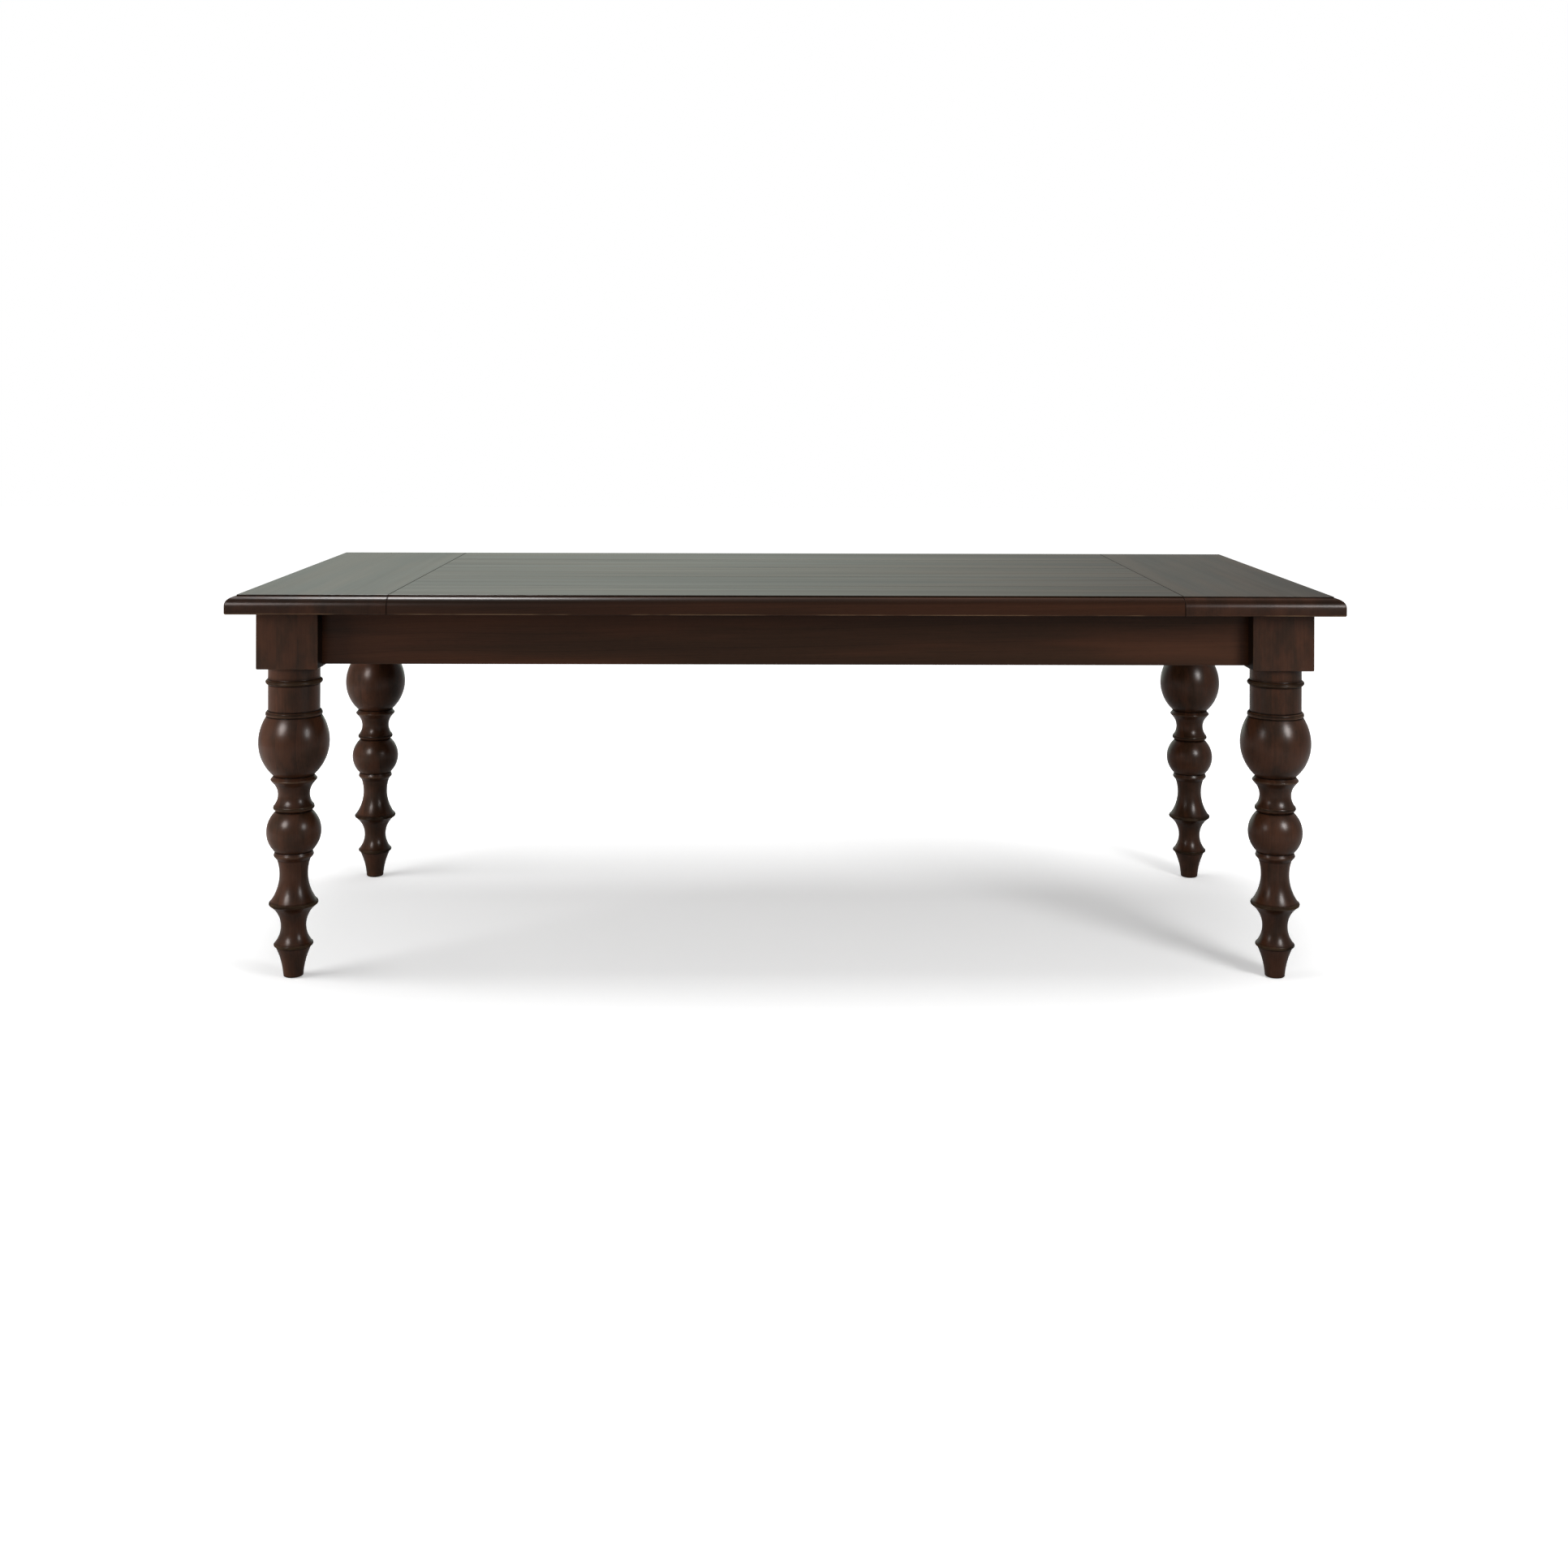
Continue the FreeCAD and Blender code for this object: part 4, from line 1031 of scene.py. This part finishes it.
def moulding():
    """Turns of the moulding from the underside up, as (inset, height, wear, glaze and painted shade)."""
    shoulder = TOP_SURFACE - MOULD_STEP
    turns = []
    for step in range(LOWER_ROUND_STEPS + 1):
        angle = math.pi / 2 * step / LOWER_ROUND_STEPS
        inset = LOWER_ROUND * (1 - math.sin(angle))
        height = TOP_UNDERSIDE + LOWER_ROUND * (1 - math.cos(angle))
        turns.append((inset, height, 1 if step in WORN_STEPS else 0, 0))
    for step in range(OVOLO_STEPS + 1):
        angle = math.pi / 2 * step / OVOLO_STEPS
        inset = MOULD_INSET * (1 - math.cos(angle))
        # A band partway round the ovolo is painted dark, as shade
        glaze_and_shade = OVOLO_PAINTED_SHADE * math.sin(min(math.pi, OVOLO_SHADE_PACE * max(0, angle - OVOLO_SHADE_START)))
        turns.append((inset, shoulder - OVOLO_HEIGHT * (1 - math.sin(angle)), 0, glaze_and_shade))
    for share in RISER_TURNS:
        turns.append((MOULD_INSET, shoulder + MOULD_STEP * share, 0, RISER_GLAZE_AND_SHADE))
    for share, wear in ARRIS_WEAR.items():
        drop = TOP_ARRIS * (1 - share) ** 2
        turns.append((MOULD_INSET + TOP_ARRIS * share ** 2, TOP_SURFACE - drop, wear, 0))
    turns.append((MOULD_INSET + 3 * TOP_ARRIS, TOP_SURFACE, 0, 0))
    return turns


def corner_points(corner, before, after, moulded, inset, seam):
    """A plan corner as (place, share of the moulding's marks, seam glaze).

    before and after point into the wood, away from the side that ends here and the one that starts.
    """
    if all(moulded):
        radius = max(CORNER_ROUND - inset, SHARPEST_CORNER)
        centre = corner + (before + after) * (inset + radius)
        points = []
        for step in range(CORNER_STEPS + 1):
            angle = math.pi / 2 * step / CORNER_STEPS
            spoke = before * math.cos(angle) + after * math.sin(angle)
            points.append((centre - spoke * radius, 1, 0))
        return points
    if not any(moulded):
        return [(corner + (before + after) * seam, 0, 0)]
    # A moulded side that ends at a seam gets the seam's bevel too
    face_in, seam_in = (before, after) if moulded[0] else (after, before)
    bevel = max(seam, SEAM_BEVEL)
    points = [
        (corner + face_in * inset + seam_in * (bevel + 2 * SEAM_BEVEL), 1, 0),
        (corner + face_in * inset + seam_in * bevel, BESIDE_SEAM_MARKS, BESIDE_SEAM_GLAZE),
        (corner + face_in * (inset + SEAM_BEVEL) + seam_in * seam, 0, 1),
    ]
    return points if moulded[0] else points[::-1]


def board_mesh(name, low, high, moulded):
    """A board of the top. moulded says which sides are: front, right, back and left."""
    inwards = [Vector((0, 1)), Vector((-1, 0)), Vector((0, -1)), Vector((1, 0))]
    sides = list(zip(inwards, moulded))
    corners = [Vector((high[0], low[1])), Vector(high), Vector((low[0], high[1])), Vector(low)]
    rows, wears, glazes_and_shade = [], [], []
    for inset, height, wear, glaze_and_shade in moulding():
        inside = inset > MOULD_INSET + TOP_ARRIS
        on_flat = inside or height <= TOP_UNDERSIDE
        seam = 2 * SEAM_BEVEL if inside else max(0, height - (TOP_SURFACE - SEAM_BEVEL))
        row = []
        for corner, (before, one), (after, other) in zip(corners, sides, sides[1:] + sides[:1]):
            for place, share, filled in corner_points(corner, before, after, (one, other), inset, seam):
                row.append((place.x, place.y, height))
                wears.append(wear * share)
                glazes_and_shade.append(0 if on_flat else max(glaze_and_shade * share, filled))
        rows.append(row)
    mesh = ring_mesh(name, rows, closed=False)
    mark(mesh, "wear", wears)
    mark(mesh, "glaze_and_shade", glazes_and_shade)
    shade(mesh)
    return mesh


def top_piece(name, replaced, mesh, wood):
    piece = as_object(name, mesh)
    mesh.materials.append(wood)
    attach(piece, BODY)
    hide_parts(replaced)


TOP_FINISH = {"ring_width": 0.0040, "sheen": 0.26, "rubbing": 0.5, "roughness": 0.32, "top": TOP_SURFACE}
TOP_STREAKS = 0.16
END_SEAMS = (-SEAM_X, SEAM_X)
# Each board's pith, its lean, and how deep it took the stain
BOARD_PITHS = (
    ((0.0, 0.40, -0.62), (0, 0.018, 0.006), 1.02),
    ((0.0, 0.17, -0.69), (0, -0.014, 0.004), 0.94),
    ((0.0, -0.04, -0.60), (0, 0.011, -0.006), 1.06),
    ((0.0, -0.22, -0.66), (0, -0.019, 0.005), 0.97),
    ((0.0, -0.41, -0.63), (0, 0.013, -0.004), 1.0),
)

edges = (-TABLE_SIDE,) + BOARD_SEAMS + (TABLE_SIDE,)
for index, (pith, lean, depth) in enumerate(BOARD_PITHS):
    board = "top_board_" + str(index + 1)
    seams = {"X": END_SEAMS, "Y": BOARD_SEAMS}
    wood = stained_wood(
        board + "_wood", "X", pith, lean, depth, streaky=TOP_STREAKS, seams=seams, **TOP_FINISH,
    )
    moulded = (index == 0, False, index == len(BOARD_PITHS) - 1, False)
    if any(moulded):
        mesh = board_mesh(board, (-SEAM_X, edges[index]), (SEAM_X, edges[index + 1]), moulded)
        top_piece("moulded_" + board, board, mesh, wood)
    else:
        finish_node(board, wood)


# Breadboards
# A wide board across each end, moulded on its three outer sides, keeps the long boards flat. Its
# grain runs across the table, so its end grain shows in the front edge, and wooden pegs driven up
# from below hold it on the boards' tongues.

HOLE_FACETS = 32
HOLE_DEPTH = 0.005
PEG_PLAY = 0.0002
PEG_PITH = (0.0, 0.02, 0.81)
# Where each breadboard starts and ends, its pith, its lean, and how deep it took the stain
BREADBOARDS = {
    "left": (-TABLE_END, -SEAM_X, (0.0, 0.93, -0.60), (0.010, 0, 0.004), 1.0),
    "right": (SEAM_X, TABLE_END, (0.0, -0.90, -0.63), (-0.013, 0, 0.005), 0.97),
}


def bored(mesh, pegs):
    """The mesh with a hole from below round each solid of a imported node, with some play."""
    drill = bmesh.new()
    for low, high in solids_of(pegs):
        radius = (high.x - low.x) / 2 + PEG_PLAY
        start = low.z - HOLE_DEPTH
        place = ((low.x + high.x) / 2, (low.y + high.y) / 2, (start + high.z) / 2)
        bmesh.ops.create_cone(
            drill, cap_ends=True, segments=HOLE_FACETS, radius1=radius, radius2=radius,
            depth=high.z - start, matrix=Matrix.Translation(place),
        )
    result = cut_away(mesh, drawn("bits", drill))
    shade(result)
    return result


for side, (start, end, pith, lean, depth) in BREADBOARDS.items():
    wood = stained_wood(
        "breadboard_wood_" + side, "Y", pith, lean, depth, streaky=TOP_STREAKS / 2,
        seams={"X": END_SEAMS}, **TOP_FINISH,
    )
    moulded = (True, side == "right", True, side == "left")
    mesh = board_mesh("breadboard", (start, -TABLE_SIDE), (end, TABLE_SIDE), moulded)
    mesh = bored(mesh, "breadboard_pegs_" + side)
    top_piece("moulded_breadboard_" + side, "breadboard_" + side, mesh, wood)
    finish_node("breadboard_pegs_" + side, plain_wood("peg_wood_" + side, "Z", PEG_PITH))


# Buttons
# Small hardwood blocks whose tongues hook into a groove inside the aprons. One screw holds each to
# the top, so the boards can swell and shrink across the table without splitting.

finish_node("top_buttons", plain_wood("button_wood", "Y", (0.0, 0.05, -0.66)))
drive_screws("button_wood_screws", "button_screws")


# Studio
# The table stands on a seamless white floor, between a low window at the left, a key at the right,
# a weak fill in front and a soft box overhead. Strips and a wide panel behind only show in the
# lacquer. The camera is level, at standing height.

FLOOR_HALF = 14.0
FLOOR_WHITE = (1, 1, 1, 1)
FLOOR_SEEN, FLOOR_BOUNCE = 0.80, 0.30
# The floor's glow is weaker inside an ellipse round the table, a painted shadow that deepens its cast
# shadow, and full white beyond
GLOW_IN_PAINTED_SHADOW, GLOW_FAR = 0.33, 1.0
GLOW_START, GLOW_END = 0.75, 1.6
PAINTED_SHADOW_MIDDLE, PAINTED_SHADOW_STRETCH = (-0.07, 0.03, 0), (0.87, 0.9, 1)
DIM_WORLD = 0.12


def seen_directly(tree):
    """1 for what the camera sees straight on, in a mirror or through glass, and 0 for other light."""
    path = node(tree, "ShaderNodeLightPath").outputs
    seen = number(tree, "MAXIMUM", path["Is Camera Ray"], path["Is Glossy Ray"])
    return number(tree, "MAXIMUM", seen, path["Is Transmission Ray"])


floor_mesh = bpy.data.meshes.new("floor")
corners = [(FLOOR_HALF * x, FLOOR_HALF * y, 0) for x, y in ((-1, -1), (1, -1), (1, 1), (-1, 1))]
floor_mesh.from_pydata(corners, [], [(0, 1, 2, 3)])
floor = as_object("floor", floor_mesh)
floor_paint, tree, here = new_material("floor_paint")
seen = seen_directly(tree)
grey = times(tree, seen, FLOOR_SEEN - FLOOR_BOUNCE, FLOOR_BOUNCE)
matt = node(tree, "ShaderNodeBsdfDiffuse", {"Color": grey})
# The glow is lowered near the table: a painted shadow
away = vector(tree, "MULTIPLY", vector(tree, "SUBTRACT", here, PAINTED_SHADOW_MIDDLE), PAINTED_SHADOW_STRETCH)
brighter = ramp(tree, vector(tree, "LENGTH", away), GLOW_START, GLOW_END, GLOW_IN_PAINTED_SHADOW, GLOW_FAR)
strength = times(tree, seen, brighter)
glow = node(tree, "ShaderNodeEmission", {"Color": FLOOR_WHITE, "Strength": strength})
both = node(tree, "ShaderNodeAddShader", {0: matt.outputs[0], 1: glow.outputs[0]})
node(tree, "ShaderNodeOutputMaterial", {"Surface": both.outputs[0]})
floor_paint.cycles.emission_sampling = "NONE"
floor_mesh.materials.append(floor_paint)

world = bpy.data.worlds.new("studio")
bpy.context.scene.world = world
world.use_nodes = True
tree = world.node_tree
tree.nodes.clear()
strength = times(tree, seen_directly(tree), 1 - DIM_WORLD, DIM_WORLD)
light = node(tree, "ShaderNodeBackground", {"Color": FLOOR_WHITE, "Strength": strength})
node(tree, "ShaderNodeOutputWorld", {"Surface": light.outputs[0]})
world.cycles.sampling_method = "NONE"

# Where each lamp stands, what it faces, its width and height, its watts and the spread of its grid
LAMPS = {
    "window": ((-3.2, -0.9, 0.85), (-0.9, -0.2, 0.5), (2.2, 1.0), 92),
    "right key": ((1.9, -2.1, 1.6), (0.3, 0, 0.5), (0.7, 1.4), 46),
    "front fill": ((0, -4.0, 2.4), (0, 0, 0.5), (3.0, 1.5), 14),
    "overhead": ((0, 0.2, 2.9), (0, 0.1, 0), (2.4, 2.2), 80),
}
# Strips that show in the lacquer and light nothing else: the crown strip draws the moulding's start
STRIPS = {
    "left strip": ((-2.0, -2.05, 1.60), (-0.97, -0.38, 0.5), (0.80, 0.95), 24, 80),
    "right strip": ((1.97, -2.1, 1.58), (0.97, -0.38, 0.5), (0.70, 0.95), 70, 130),
    "crown strip": ((-1.15, 0.5, 2.9), (-0.75, -0.45, 0.75), (0.9, 0.9), 240),
}
# A wide panel behind, which lights only the lacquer too, feathered from its left end to its right
PANEL = ((-0.6, 4.2, 1.4), (-0.6, 0, 1.0), (6.0, 3.0), 110)
PANEL_TINT = (0.85, 1.0, 0.88)
PANEL_FEATHER = (-0.12, 0.55)
# The right strip is kept off these boards, which would mirror it towards the back of the room
FLAGGED = (
    "moulded_breadboard_left", "moulded_top_board_1", "top_board_2", "top_board_3", "top_board_4",
    "moulded_top_board_5",
)


def hang_lamp(name, place, target, size, power, spread=180, in_gloss=True, on_matt=True):
    lamp = bpy.data.lights.new(name, "AREA")
    lamp.shape = "RECTANGLE" if on_matt else "ELLIPSE"
    lamp.size, lamp.size_y = size
    lamp.energy = power
    lamp.spread = math.radians(spread)
    stand = as_object(name, lamp)
    stand.location = place
    stand.rotation_euler = (Vector(target) - Vector(place)).to_track_quat("-Z", "Y").to_euler()
    stand.visible_camera = False
    stand.visible_glossy = in_gloss
    stand.visible_diffuse = on_matt
    return lamp


for name, settings in LAMPS.items():
    hang_lamp(name, *settings, in_gloss=False)
for name, settings in STRIPS.items():
    hang_lamp(name, *settings, on_matt=False)

flagged = bpy.data.collections.new("flagged_boards")
for board in FLAGGED:
    flagged.objects.link(bpy.data.objects[board])
for member in flagged.collection_objects:
    member.light_linking.link_state = "EXCLUDE"
bpy.data.objects["right strip"].light_linking.receiver_collection = flagged

panel = hang_lamp("panel", *PANEL, on_matt=False)
panel.shape = "RECTANGLE"
panel.color = PANEL_TINT
panel.use_nodes = True
tree = panel.node_tree
place = node(tree, "ShaderNodeNewGeometry").outputs["Parametric"]
across = node(tree, "ShaderNodeSeparateXYZ", {0: place}).outputs["X"]
tree.links.new(ramp(tree, across, *PANEL_FEATHER), tree.nodes["Emission"].inputs["Strength"])

CAMERA_PLACE = (-0.0300, -4.0557, 1.1606)
CAMERA_TURN = (math.pi / 2, -0.00291, -0.00731)
LENS, SENSOR = 42.711, 36.0
SHIFT = (-0.00073, -0.2518)

view = bpy.data.cameras.new("camera")
view.sensor_width, view.lens = SENSOR, LENS
view.shift_x, view.shift_y = SHIFT
camera = as_object("camera", view)
camera.location, camera.rotation_euler = CAMERA_PLACE, CAMERA_TURN
bpy.context.scene.camera = camera
bpy.context.scene.view_settings.view_transform = "Standard"
